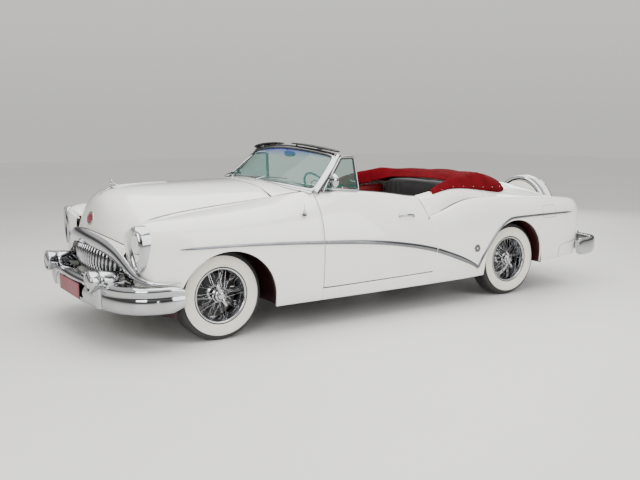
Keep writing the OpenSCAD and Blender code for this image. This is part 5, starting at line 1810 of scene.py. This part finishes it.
class Cabin:
    """Floor, dash, wheel, seats and the folded top's cover."""

    def build(self) -> None:
        """Makes the inside."""
        self.floor()
        self.dash()
        self.wheel()
        self.seats()
        self.cover()

    def floor(self) -> None:
        """Carpet over the floor and the tunnel's hump, trimmed side walls and the toe board."""
        x = np.linspace(-0.46, 1.13, 40)
        y = np.linspace(-0.80, 0.80, 61)
        hump = 0.045 * np.exp(-(y / 0.11) ** 2)
        toe = np.clip((x - 0.96) / 0.17, 0, 1) * 0.16
        grid = np.stack([np.broadcast_to(x[:, None], (40, 61)), np.broadcast_to(y, (40, 61)),
                         0.318 + hump[None] + toe[:, None]], -1)
        piece("cabin_carpet", surface(grid), [CARPET], wall=0.002)
        pedals = joined([block((0.985, 0.20, 0.44), (1.000, 0.29, 0.52)), block((0.985, 0.33, 0.40), (1.0, 0.43, 0.48)),
                         rod((1.0, 0.245, 0.47), (1.10, 0.245, 0.56), 0.007),
                         rod((1.0, 0.38, 0.44), (1.10, 0.38, 0.54), 0.007),
                         block((0.96, 0.13, 0.36), (0.985, 0.17, 0.50))])
        piece("pedals", pedals, [RUBBER], bevel=0.004)
        side = np.linspace(-0.98, -0.20, 24)
        z = np.linspace(0.33, 1.00, 14)
        gx, gz = np.meshgrid(side, z, indexing="ij")
        lid = np.interp(gx, [-0.98, -0.60, -0.43, -0.20], [1.0, 1.0, 0.98, 0.955])
        gz = 0.33 + (gz - 0.33) / 0.67 * (lid - 0.33)
        wall = np.stack([gx, 0.700 + 0.06 * np.clip((gx + 0.45) / 0.25, 0, 1), gz], -1)
        for way, name in SIDES:
            piece(f"rear_side_trim_{name}", surface(wall).sided(way), [RED_LEATHER], wall=0.006,
                  slot="seat_leather")
        v = np.linspace(-0.60, 0.60, 25)
        z = np.linspace(0.33, 1.06, 10)
        grid = np.stack([np.full((25, 10), -0.992), np.broadcast_to(v[:, None], (25, 10)),
                         np.broadcast_to(z, (25, 10))], -1)
        piece("rear_bulkhead_trim", surface(grid), [BLACK_TRIM], wall=0.004)

    def dash(self) -> None:
        """The painted dash: a rolled top, a chrome band, round dials, radio, glove box and the steering column."""
        y = np.linspace(-0.690, 0.690, 61)
        outline = np.array([[1.135, 0.99], [1.135, 1.062], [1.05, 1.098], [0.97, 1.122], [0.915, 1.126],
                            [0.885, 1.114], [0.872, 1.085], [0.876, 1.045], [0.884, 0.975], [0.886, 0.915],
                            [0.900, 0.872], [0.930, 0.858], [1.02, 0.865]])
        fine = smooth_path(outline / MM, 60)
        bend = 1 - np.abs(y / 0.69) ** 5 * 0.5
        top = np.stack([np.broadcast_to(fine[None, :, 0], (61, 60)) + (1 - bend[:, None]) * 0.02,
                        np.broadcast_to(y[:, None], (61, 60)),
                        np.broadcast_to(fine[None, :, 1], (61, 60)) - (1 - bend[:, None]) * 0.035], -1)
        piece("dash_panel", surface(top, flip=True), [RED_DASH], stands_for=["dashboard"], slot="dash_paint",
              wall=0.004)
        trims, faces = [], []
        for cy, r in ((0.475, 0.060), (0.300, 0.060), (0.0, 0.036)):
            ring = lathe([(r - 0.006, -0.004), (r + 0.004, -0.002), (r + 0.006, 0.006), (r, 0.014), (r - 0.008, 0.008)],
                         40, closed=True)
            back = np.array([[0, -1.0, 0], [0, 0, 1.0], [-1.0, 0, 0]])
            trims.append(ring.turned(back).moved(0.882, cy, 0.985))
            dial = lathe([(0, -0.006), (r - 0.004, -0.004), (r - 0.004, 0.0), (0, 0.001)], 40)
            faces.append(dial.turned(back).moved(0.880, cy, 0.985))
            a = np.linspace(-2.2, 2.2, 12)
            for t in a:
                c, s = np.sin(t), np.cos(t)
                trims.append(block((0.8770, cy + (r - 0.014) * c - 0.0012, 0.985 + (r - 0.014) * s - 0.0012),
                                   (0.8795, cy + (r - 0.014) * c + 0.0012, 0.985 + (r - 0.014) * s + 0.0012)))
            trims.append(rod((0.8785, cy, 0.985), (0.8785, cy - 0.5 * r, 0.985 + 0.5 * r), 0.0012, 6))
        strip = np.stack([0 * y[4:-4] + 0.876, y[4:-4], 0 * y[4:-4] + 1.060], -1)
        trims.append(carried(strip, oval(0.004, 0.006, 8)))
        trims.append(carried(strip - np.array([-0.008, 0, 0.15]), oval(0.004, 0.004, 8)))
        for i in range(9):
            trims.append(block((0.874, -0.10 + 0.010 * i + 0.003, 0.935), (0.884, -0.10 + 0.010 * i + 0.007, 1.035)))
        for ky in (0.20, 0.13, -0.13, -0.19):
            trims.append(rod((0.886, ky, 0.900), (0.862, ky, 0.900), 0.010, 14))
        trims.append(rod((0.884, -0.42, 0.985), (0.866, -0.42, 0.985), 0.013, 16))
        piece("dash_trim", joined(trims), [CHROME], slot="chrome_trim")
        piece("dash_dials", joined(faces), [BLACK_GLOSS], slot="dash_paint")
        a = np.linspace(0, 2 * np.pi, 48, endpoint=False)
        box = np.stack([0 * a + 0.880, -0.42 + 0.15 * np.sign(np.cos(a)) * np.abs(np.cos(a)) ** 0.2,
                        0.975 + 0.055 * np.sign(np.sin(a)) * np.abs(np.sin(a)) ** 0.2], -1)
        piece("glove_box_line", carried(box, oval(0.0015, 0.0012, 6), up=(-1, 0, 0), closed=True), [BLACK_TRIM])
        axis = np.array([-0.8660254, 0.0, 0.5])
        hub = np.array([0.540, 0.380, 1.045])
        column = rod(hub - axis * 0.66, hub - axis * 0.07, 0.024, 20)
        stalk = rod(hub - axis * 0.10, hub - axis * 0.10 + np.array([0.01, -0.15, 0.05]), 0.005)
        knob = rod(hub - axis * 0.10 + np.array([0.01, -0.14, 0.047]),
                   hub - axis * 0.10 + np.array([0.01, -0.17, 0.057]), 0.010)
        piece("steering_column", column + (stalk + knob).finished(1), [RED_DASH, CHROME], slot="dash_paint")

    def wheel(self) -> None:
        """A dark thin-rimmed wheel with finger grips, two spokes, a chrome horn ring and a plain hub."""
        a = np.linspace(0, 2 * np.pi, 96, endpoint=False)
        loop = np.stack([0.205 * np.cos(a), 0.205 * np.sin(a), 0 * a], -1)
        grip = 1 + 0.06 * np.cos(24 * a)
        rim = carried(loop, oval(0.0105, 0.0105, 12)[None] * grip[:, None, None], closed=True)
        hub = lathe([(0, -0.050), (0.030, -0.048), (0.034, -0.020), (0.040, -0.004), (0.040, 0.006), (0.034, 0.012),
                     (0, 0.016)], 40)
        cap = lathe([(0, 0.012), (0.026, 0.013), (0.024, 0.020), (0.012, 0.024), (0, 0.025)], 32)
        small = np.stack([0.125 * np.cos(a[::2]), 0.125 * np.sin(a[::2]), 0 * a[::2] + 0.004], -1)
        ring = carried(small, oval(0.004, 0.004, 8), closed=True)
        spokes, bars = [], []
        for way in (1, -1):
            line = smooth_path([[34 * way, 0, -8], [100 * way, -4, -6], [197 * way, 0, 0]], 12)
            spokes.append(carried(line, oval(0.011, 0.006, 10, 2.5)))
            bars.append(carried(smooth_path([[20 * way, 0, 12], [80 * way, 0, 8], [124 * way, 0, 4]], 8),
                                oval(0.004, 0.003, 8)))
        rows = np.stack([[0.0, 1.0, 0.0], [0.5, 0.0, 0.8660254], [0.8660254, 0.0, -0.5]])
        rows = np.stack([[0.0, -1.0, 0.0], [0.5, 0.0, 0.8660254], [-0.8660254, 0.0, 0.5]])
        black = (rim + hub + joined(spokes)).turned(rows).moved(0.540, 0.380, 1.045)
        bright = (cap + ring + joined(bars)).turned(rows).moved(0.540, 0.380, 1.045)
        piece("steering_wheel_rim", black, [BLACK_GLOSS], "steering_wheel", ["steering_wheel"], "wheel_rim_plastic")
        piece("steering_wheel_horn", bright, [CHROME], "steering_wheel", slot="chrome_trim")

    def seats(self) -> None:
        """A front bench with a divided back, and the dark rear bench, all channelled."""
        piece("front_seat_base", cushion((-0.30, -0.64, 0.33), (0.33, 0.64, 0.42), 0, 0, 0, power=12),
                          [RED_LEATHER], stands_for=["front_seat"], slot="seat_leather")
        piece("front_seat_cushion", cushion((-0.27, -0.635, 0.40), (0.335, 0.635, 0.50), 0.085, 0.010,
                                                        0.018), [RED_LEATHER], slot="seat_leather")
        for side, name in SIDES:
            lo, hi = (0.006, 0.635) if side > 0 else (-0.635, -0.006)
            back = cushion((-0.260, lo, 0.46), (-0.115, hi, 0.955), 0.085, 0.009, 0.012, 0.27, True)
            piece(f"front_seat_back_{name}", back, [RED_LEATHER], slot="seat_leather")
            shell = cushion((-0.300, lo + 0.004 * side, 0.40), (-0.255, hi, 0.935), 0, 0, 0, 0.26, True, 10)
            piece(f"front_seat_shell_{name}", shell, [RED_LEATHER], slot="seat_leather")
        piece("rear_seat_cushion", cushion((-0.87, -0.535, 0.33), (-0.445, 0.535, 0.515), 0.085, 0.010,
                                                       0.016), [BLACK_TRIM], stands_for=["rear_seat"],
                          slot="seat_leather")
        back = cushion((-0.945, -0.535, 0.44), (-0.800, 0.535, 1.085), 0.085, 0.010, 0.014, 0.115, True)
        piece("rear_seat_back", back, [BLACK_TRIM], slot="seat_leather")

    def cover(self) -> None:
        """The snapped cloth cover over the folded top: one curved sheet that runs round the rear of the cabin."""
        n, m = 180, 30
        t = np.linspace(-1, 1, n)
        s = np.linspace(0, 1, m)
        outer = self._edge(t, np.array([[-0.372, 0.822, 0.0], [-0.55, 0.808, 0.0], [-0.78, 0.772, 0], [-1.00, 0.728, 0],
                                        [-1.22, 0.690, 0], [-1.43, 0.632, 0], [-1.565, 0.520, 0], [-1.612, 0.32, 0],
                                        [-1.622, 0.12, 0], [-1.625, 0.0, 0]]))
        inner = self._edge(t, np.array([[-0.395, 0.735, 0.0], [-0.52, 0.690, 0.0], [-0.68, 0.645, 0], [-0.82, 0.60, 0],
                                        [-0.91, 0.545, 0], [-0.955, 0.46, 0], [-0.975, 0.34, 0], [-0.985, 0.18, 0],
                                        [-0.988, 0.0, 0]]))
        ground_u, ground_v = UPPER.find(outer[:, 0], np.abs(outer[:, 1]), axes=(0, 1), low=0.0)
        base = UPPER.at(ground_u, ground_v)[:, 2] + 0.004
        front = np.clip((1 - np.abs(t)) / 0.14, 0, 1)
        swell = np.sin(front * np.pi / 2)
        crown = np.interp(np.abs(t), [0, 0.35, 0.60, 0.78, 0.92, 1.0], [1.172, 1.176, 1.172, 1.150, 1.098, 1.052])
        hem = np.interp(np.abs(t), [0, 0.45, 0.70, 0.90, 1.0], [1.105, 1.090, 1.020, 0.985, 1.015])
        S, T = np.meshgrid(s, t)
        xy = outer[:, None, :2] * (1 - S[..., None]) + inner[:, None, :2] * S[..., None]
        peak = 0.60
        up = np.clip(S / peak, 0, 1)
        down = np.clip((S - peak) / (1 - peak), 0, 1)
        rise = np.sin(up * np.pi / 2) ** np.interp(np.abs(T), [0, 0.45, 0.62, 1], [0.62, 0.60, 0.80, 0.85])
        fall = (1 - np.cos(down * np.pi / 2)) ** 1.3
        z = base[:, None] + (crown - base)[:, None] * rise - (crown - hem)[:, None] * fall
        rng = np.random.default_rng(7)
        fold = np.zeros_like(S)
        for _ in range(16):
            c, w, lean, h = rng.uniform(-0.95, 0.95), rng.uniform(0.012, 0.035), rng.uniform(-0.10, 0.10), \
                rng.uniform(0.001, 0.004)
            fold += h * np.exp(-(((T - c - lean * (S - 0.5)) / w) ** 2))
        sag = 0.010 * np.sin(S * np.pi) * (np.sin(T * 23.0) * 0.5 + np.sin(T * 11.0 + 1.0) * 0.5)
        z = z + (fold + sag) * np.sin(np.clip(S * 1.15, 0, 1) * np.pi) ** 0.7 * swell[:, None]
        grid = np.concatenate([xy, z[..., None]], -1)
        cloth = piece("boot_cover", surface(grid), [CANVAS], stands_for=["top_boot"], slot="boot_fabric", wall=0.0018)
        hem_line = grid[:, 0] + np.array([0, 0, 0.003])
        piece("boot_cover_welt", carried(hem_line, oval(0.0045, 0.0035, 8)), [CANVAS], slot="boot_fabric")
        stud = lathe([(0, -0.001), (0.0072, 0), (0.0062, 0.003), (0, 0.0042)], 12)
        studs = [stud.moved(*(p + np.array([0, 0, 0.005]))) for p in grid[6:-6:8, 1]]
        piece("boot_cover_snaps", joined(studs), [CHROME], slot="chrome_trim")

    @staticmethod
    def _edge(t: Array, half: Array) -> Array:
        """Places along a mirrored edge: t = -1 and 1 are its front ends, 0 its middle, by length.

        Args:
            t: shares.
            half: the left half from the front end to the middle, in metres.

        Returns:
            The places.
        """
        other = half[-2::-1] * np.array([1, -1, 1])
        return smooth_path(np.concatenate([half, other]) / MM, len(t))


# ---------------------------------------------------------------- the tail


class Tail:
    """Rear bumper, lamps, valance and the lid's handle."""

    def build(self) -> None:
        """Makes the rear end."""
        half = [[-2240, 936, 402], [-2340, 932, 400], [-2445, 916, 400], [-2560, 868, 400], [-2627, 780, 400],
                [-2660, 600, 400], [-2676, 300, 400], [-2680, 0, 400]]
        path = smooth_path(half + [[x, -y, z] for x, y, z in half[-2::-1]], 121)
        y = np.abs(path[:, 1])
        base = np.array([[0.022, -0.082], [0.020, 0.058], [0.070, 0.076], [0.070, 0.084], [0.000, 0.087],
                         [-0.012, 0.079], [-0.018, 0.052], [-0.020, 0.0], [-0.016, -0.050], [-0.004, -0.080],
                         [0.010, -0.086]])
        section = np.repeat(base[None], len(path), 0)
        section[:, 2:4, 0] -= 0.045 * np.clip((y - 0.80) / 0.1, 0, 1)[:, None]
        end = np.clip((-2.225 - path[:, 0]) / 0.07, 0, 1) ** 0.5
        section[..., 1] *= (0.35 + 0.65 * end)[:, None]
        piece("rear_bumper_bar", carried(path, section), [CHROME], stands_for=["rear_bumper"], slot="chrome_trim",
              smooth_angle=50)
        z = np.linspace(0.305, 0.510, 11)
        swell = np.sin(np.pi * np.clip((z - 0.29) / 0.24, 0, 1)) ** 0.6
        guards = []
        for side, _ in SIDES:
            line = np.stack([-2.640 - 0.016 * swell, 0 * z + 0.560, z], -1)
            ring = oval(0.036, 0.050, 20, 2.6)[None] * (0.45 + 0.55 * swell)[:, None, None]
            guards.append(carried(line, ring, up=(0, 1, 0)).sided(side))
        irons = joined(block((-2.64, s * 0.43 - 0.02, 0.32), (-2.35, s * 0.43 + 0.02, 0.36)) for s in (1, -1))
        piece("rear_bumper_guards", joined(guards), [CHROME], slot="chrome_trim")
        piece("rear_bumper_irons", irons, [DARK_METAL], slot="chrome_trim", bevel=0.003)
        self._lamps()
        self._valance()
        handle = carried(smooth_path([[-2272, -70, 908], [-2284, -40, 914], [-2288, 0, 916], [-2284, 40, 914],
                                      [-2272, 70, 908]], 20), oval(0.007, 0.010, 10))
        piece("trunk_handle", handle, [CHROME], "trunk_lid", slot="chrome_trim")

    def _lamps(self) -> None:
        """Upright tail lamps: a chrome shell with a red lens above a small reflector."""
        b = np.linspace(-np.pi / 2, np.pi / 2, 17)
        shell, lens = [], []
        a = np.linspace(0, 2 * np.pi, 28, endpoint=False)
        for k in b:
            ring = np.stack([0.048 * np.cos(k) * np.cos(a), 0.036 * np.cos(k) * np.sin(a), 0 * a + 0.135 * np.sin(k)],
                            -1)
            shell.append(ring)
        shell = tube(np.stack(shell), caps=False)
        for k in b:
            ring = np.stack([0.030 * np.cos(k) * np.cos(a), 0.026 * np.cos(k) * np.sin(a), 0 * a + 0.070 * np.sin(k)],
                            -1)
            lens.append(ring)
        lens = tube(np.stack(lens), caps=False).moved(-0.024, 0, 0.030)
        lower = lathe([(0, -0.004), (0.021, -0.004), (0.021, 0.003), (0.012, 0.009), (0, 0.011)], 24)
        lower = lower.turned(tilted((-1, 0, 0))).moved(-0.040, 0, -0.070)
        for n, (side, name) in enumerate(SIDES):
            piece(f"tail_lamp_{name}_shell", shell.moved(-2.350, 0.768, 0.690).sided(side), [CHROME],
                  stands_for=["tail_lamps"] if n == 0 else (), slot="lamp_red")
            piece(f"tail_lamp_{name}_lens", (lens + lower).moved(-2.350, 0.768, 0.690).sided(side), [RED_LENS],
                  slot="lamp_red")

    def _valance(self) -> None:
        """The painted sheet under the tail, behind the rear wheels, with a dark shut line above it."""
        line = smooth_path([[-1984, 316], [-1986, 370], [-1990, 412], [-2006, 438], [-2050, 451], [-2110, 458],
                            [-2187, 467], [-2270, 474]], 44)
        u, v = REAR.find(line[:, 0], line[:, 1])
        seam = carried(REAR.at(u, v) + 0.0006 * REAR.normal(u, v), oval(0.0022, 0.0012, 6), up=REAR.normal(u, v))
        for side, name in SIDES:
            piece(f"valance_seam_{name}", seam.sided(side), [BLACK_TRIM])
        y = np.linspace(-0.72, 0.72, 31)
        z = np.linspace(0.505, 0.330, 6)
        grid = np.stack([np.broadcast_to(-2.345 - 0.0 * y[:, None], (31, 6)), np.broadcast_to(y[:, None], (31, 6)),
                         np.broadcast_to(z, (31, 6))], -1)
        piece("tail_apron", surface(grid, flip=True), [IVORY], slot="body_paint", wall=0.003)


# ---------------------------------------------------------------- stage


class Studio:
    """A plain pale floor with soft light and a camera."""

    def build(self) -> None:
        """Makes the floor, the lights, the world and the camera."""
        floor = Shape(np.array([[-30, -30, 0], [30, -30, 0], [30, 30, 0], [-30, 30, 0]], float),
                      [(np.array([[0, 1, 2, 3]]), 0)])
        mesh = bpy.data.meshes.new("studio_floor")
        mesh.from_pydata(floor.points.tolist(), [], floor.blocks[0][0].tolist())
        mesh.materials.append(Finish("studio_floor_paint", (0.74, 0.735, 0.715), (0.71, 0.705, 0.685), 0.5,
                                     cloud=0.4).made())
        ground = bpy.data.objects.new("studio_floor", mesh)
        bpy.context.scene.collection.objects.link(ground)
        for name, at, size, power in (
            ("soft_roof", (0.5, 0.8, 5.2), 7.0, 520.0),
            ("soft_front", (6.5, 5.5, 3.4), 3.6, 250.0),
            ("soft_side", (-2.5, 7.5, 3.0), 4.6, 250.0),
            ("soft_back", (-6.0, -5.0, 3.5), 5.0, 230.0),
        ):
            data = bpy.data.lights.new(name, "AREA")
            data.shape = "SQUARE"
            data.size = size
            data.energy = power
            lamp = bpy.data.objects.new(name, data)
            lamp.location = at
            lamp.rotation_euler = (Vector((0, 0, 0.5)) - Vector(at)).to_track_quat("-Z", "Y").to_euler()
            bpy.context.scene.collection.objects.link(lamp)
        self._world()
        self._camera()

    def _world(self) -> None:
        """An even pale room; mirrored in metal and gloss it is a bright roof over a darker band."""
        world = bpy.data.worlds.new("studio_world")
        world.use_nodes = True
        nodes, links = world.node_tree.nodes, world.node_tree.links
        place = nodes.new("ShaderNodeTexCoord")
        split = nodes.new("ShaderNodeSeparateXYZ")
        ramp = nodes.new("ShaderNodeValToRGB")
        rise = nodes.new("ShaderNodeMapRange")
        rise.inputs["From Min"].default_value = -0.1
        rise.inputs["From Max"].default_value = 1.0
        first, last = ramp.color_ramp.elements
        first.color, last.color = (0.50, 0.50, 0.49, 1), (1.0, 1.0, 0.98, 1)
        for at, level in ((0.09, 0.46), (0.15, 0.10), (0.30, 0.13), (0.42, 0.62), (0.60, 0.90)):
            stop = ramp.color_ramp.elements.new(at)
            stop.color = (level, level, level * 0.985, 1)
        links.new(place.outputs["Generated"], split.inputs["Vector"])
        links.new(split.outputs["Z"], rise.inputs["Value"])
        links.new(rise.outputs["Result"], ramp.inputs["Fac"])
        room = nodes.new("ShaderNodeValToRGB")
        room.color_ramp.elements[0].position = 0.09
        room.color_ramp.elements[0].color = (0.50, 0.495, 0.475, 1)
        room.color_ramp.elements[1].position = 0.30
        room.color_ramp.elements[1].color = (0.68, 0.67, 0.64, 1)
        links.new(rise.outputs["Result"], room.inputs["Fac"])
        seen = nodes.new("ShaderNodeLightPath")
        glow = nodes.new("ShaderNodeBackground")
        mix = nodes.new("ShaderNodeMixShader")
        links.new(ramp.outputs["Color"], nodes["Background"].inputs["Color"])
        links.new(room.outputs["Color"], glow.inputs["Color"])
        nodes["Background"].inputs["Strength"].default_value = 1.0
        glow.inputs["Strength"].default_value = 1.3
        links.new(seen.outputs["Is Glossy Ray"], mix.inputs["Fac"])
        links.new(glow.outputs["Background"], mix.inputs[1])
        links.new(nodes["Background"].outputs["Background"], mix.inputs[2])
        links.new(mix.outputs["Shader"], nodes["World Output"].inputs["Surface"])
        bpy.context.scene.world = world

    def _camera(self) -> None:
        """The main view: from ahead and to the left, a little above the hood."""
        data = bpy.data.cameras.new("main_camera")
        data.lens = 44.98
        data.sensor_width = 36
        camera = bpy.data.objects.new("main_camera", data)
        turn, dip = np.radians(33.187), np.radians(8.227)
        look = Vector((-np.sin(turn) * np.cos(dip), -np.cos(turn) * np.cos(dip), -np.sin(dip)))
        camera.location = (4.389, 6.258, 1.642)
        camera.rotation_euler = look.to_track_quat("-Z", "Y").to_euler()
        bpy.context.scene.collection.objects.link(camera)
        bpy.context.scene.camera = camera


def keep_nodes() -> None:
    """Gives the mechanical parts that stay plain their finishes."""
    plan = {"underbody": OXBLOOD, "chassis_frame": DARK_METAL, "engine": IRON, "exhaust": STEEL,
            "fuel_tank": DARK_METAL, "front_suspension": DARK_METAL, "rear_axle": DARK_METAL,
            "knuckle_left": DARK_METAL, "knuckle_right": DARK_METAL, "spare_carrier": IVORY}
    for name, finish in plan.items():
        node = bpy.data.objects[name]
        node.data.materials.clear()
        node.data.materials.append(finish.made())


def main() -> None:
    """Loads the frame, dresses it and sets the stage."""
    logging.basicConfig(level=logging.INFO, format="%(name)s: %(message)s")
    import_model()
    Panels(PanelSizes()).build()
    for side, name in SIDES:
        Door(side, name).build()
    Wheels(WheelSizes()).build()
    Nose().build()
    SideTrim().build()
    Screen().build()
    VentWindow().build()
    Cabin().build()
    Tail().build()
    keep_nodes()
    Studio().build()


if __name__ == "__main__":
    main()
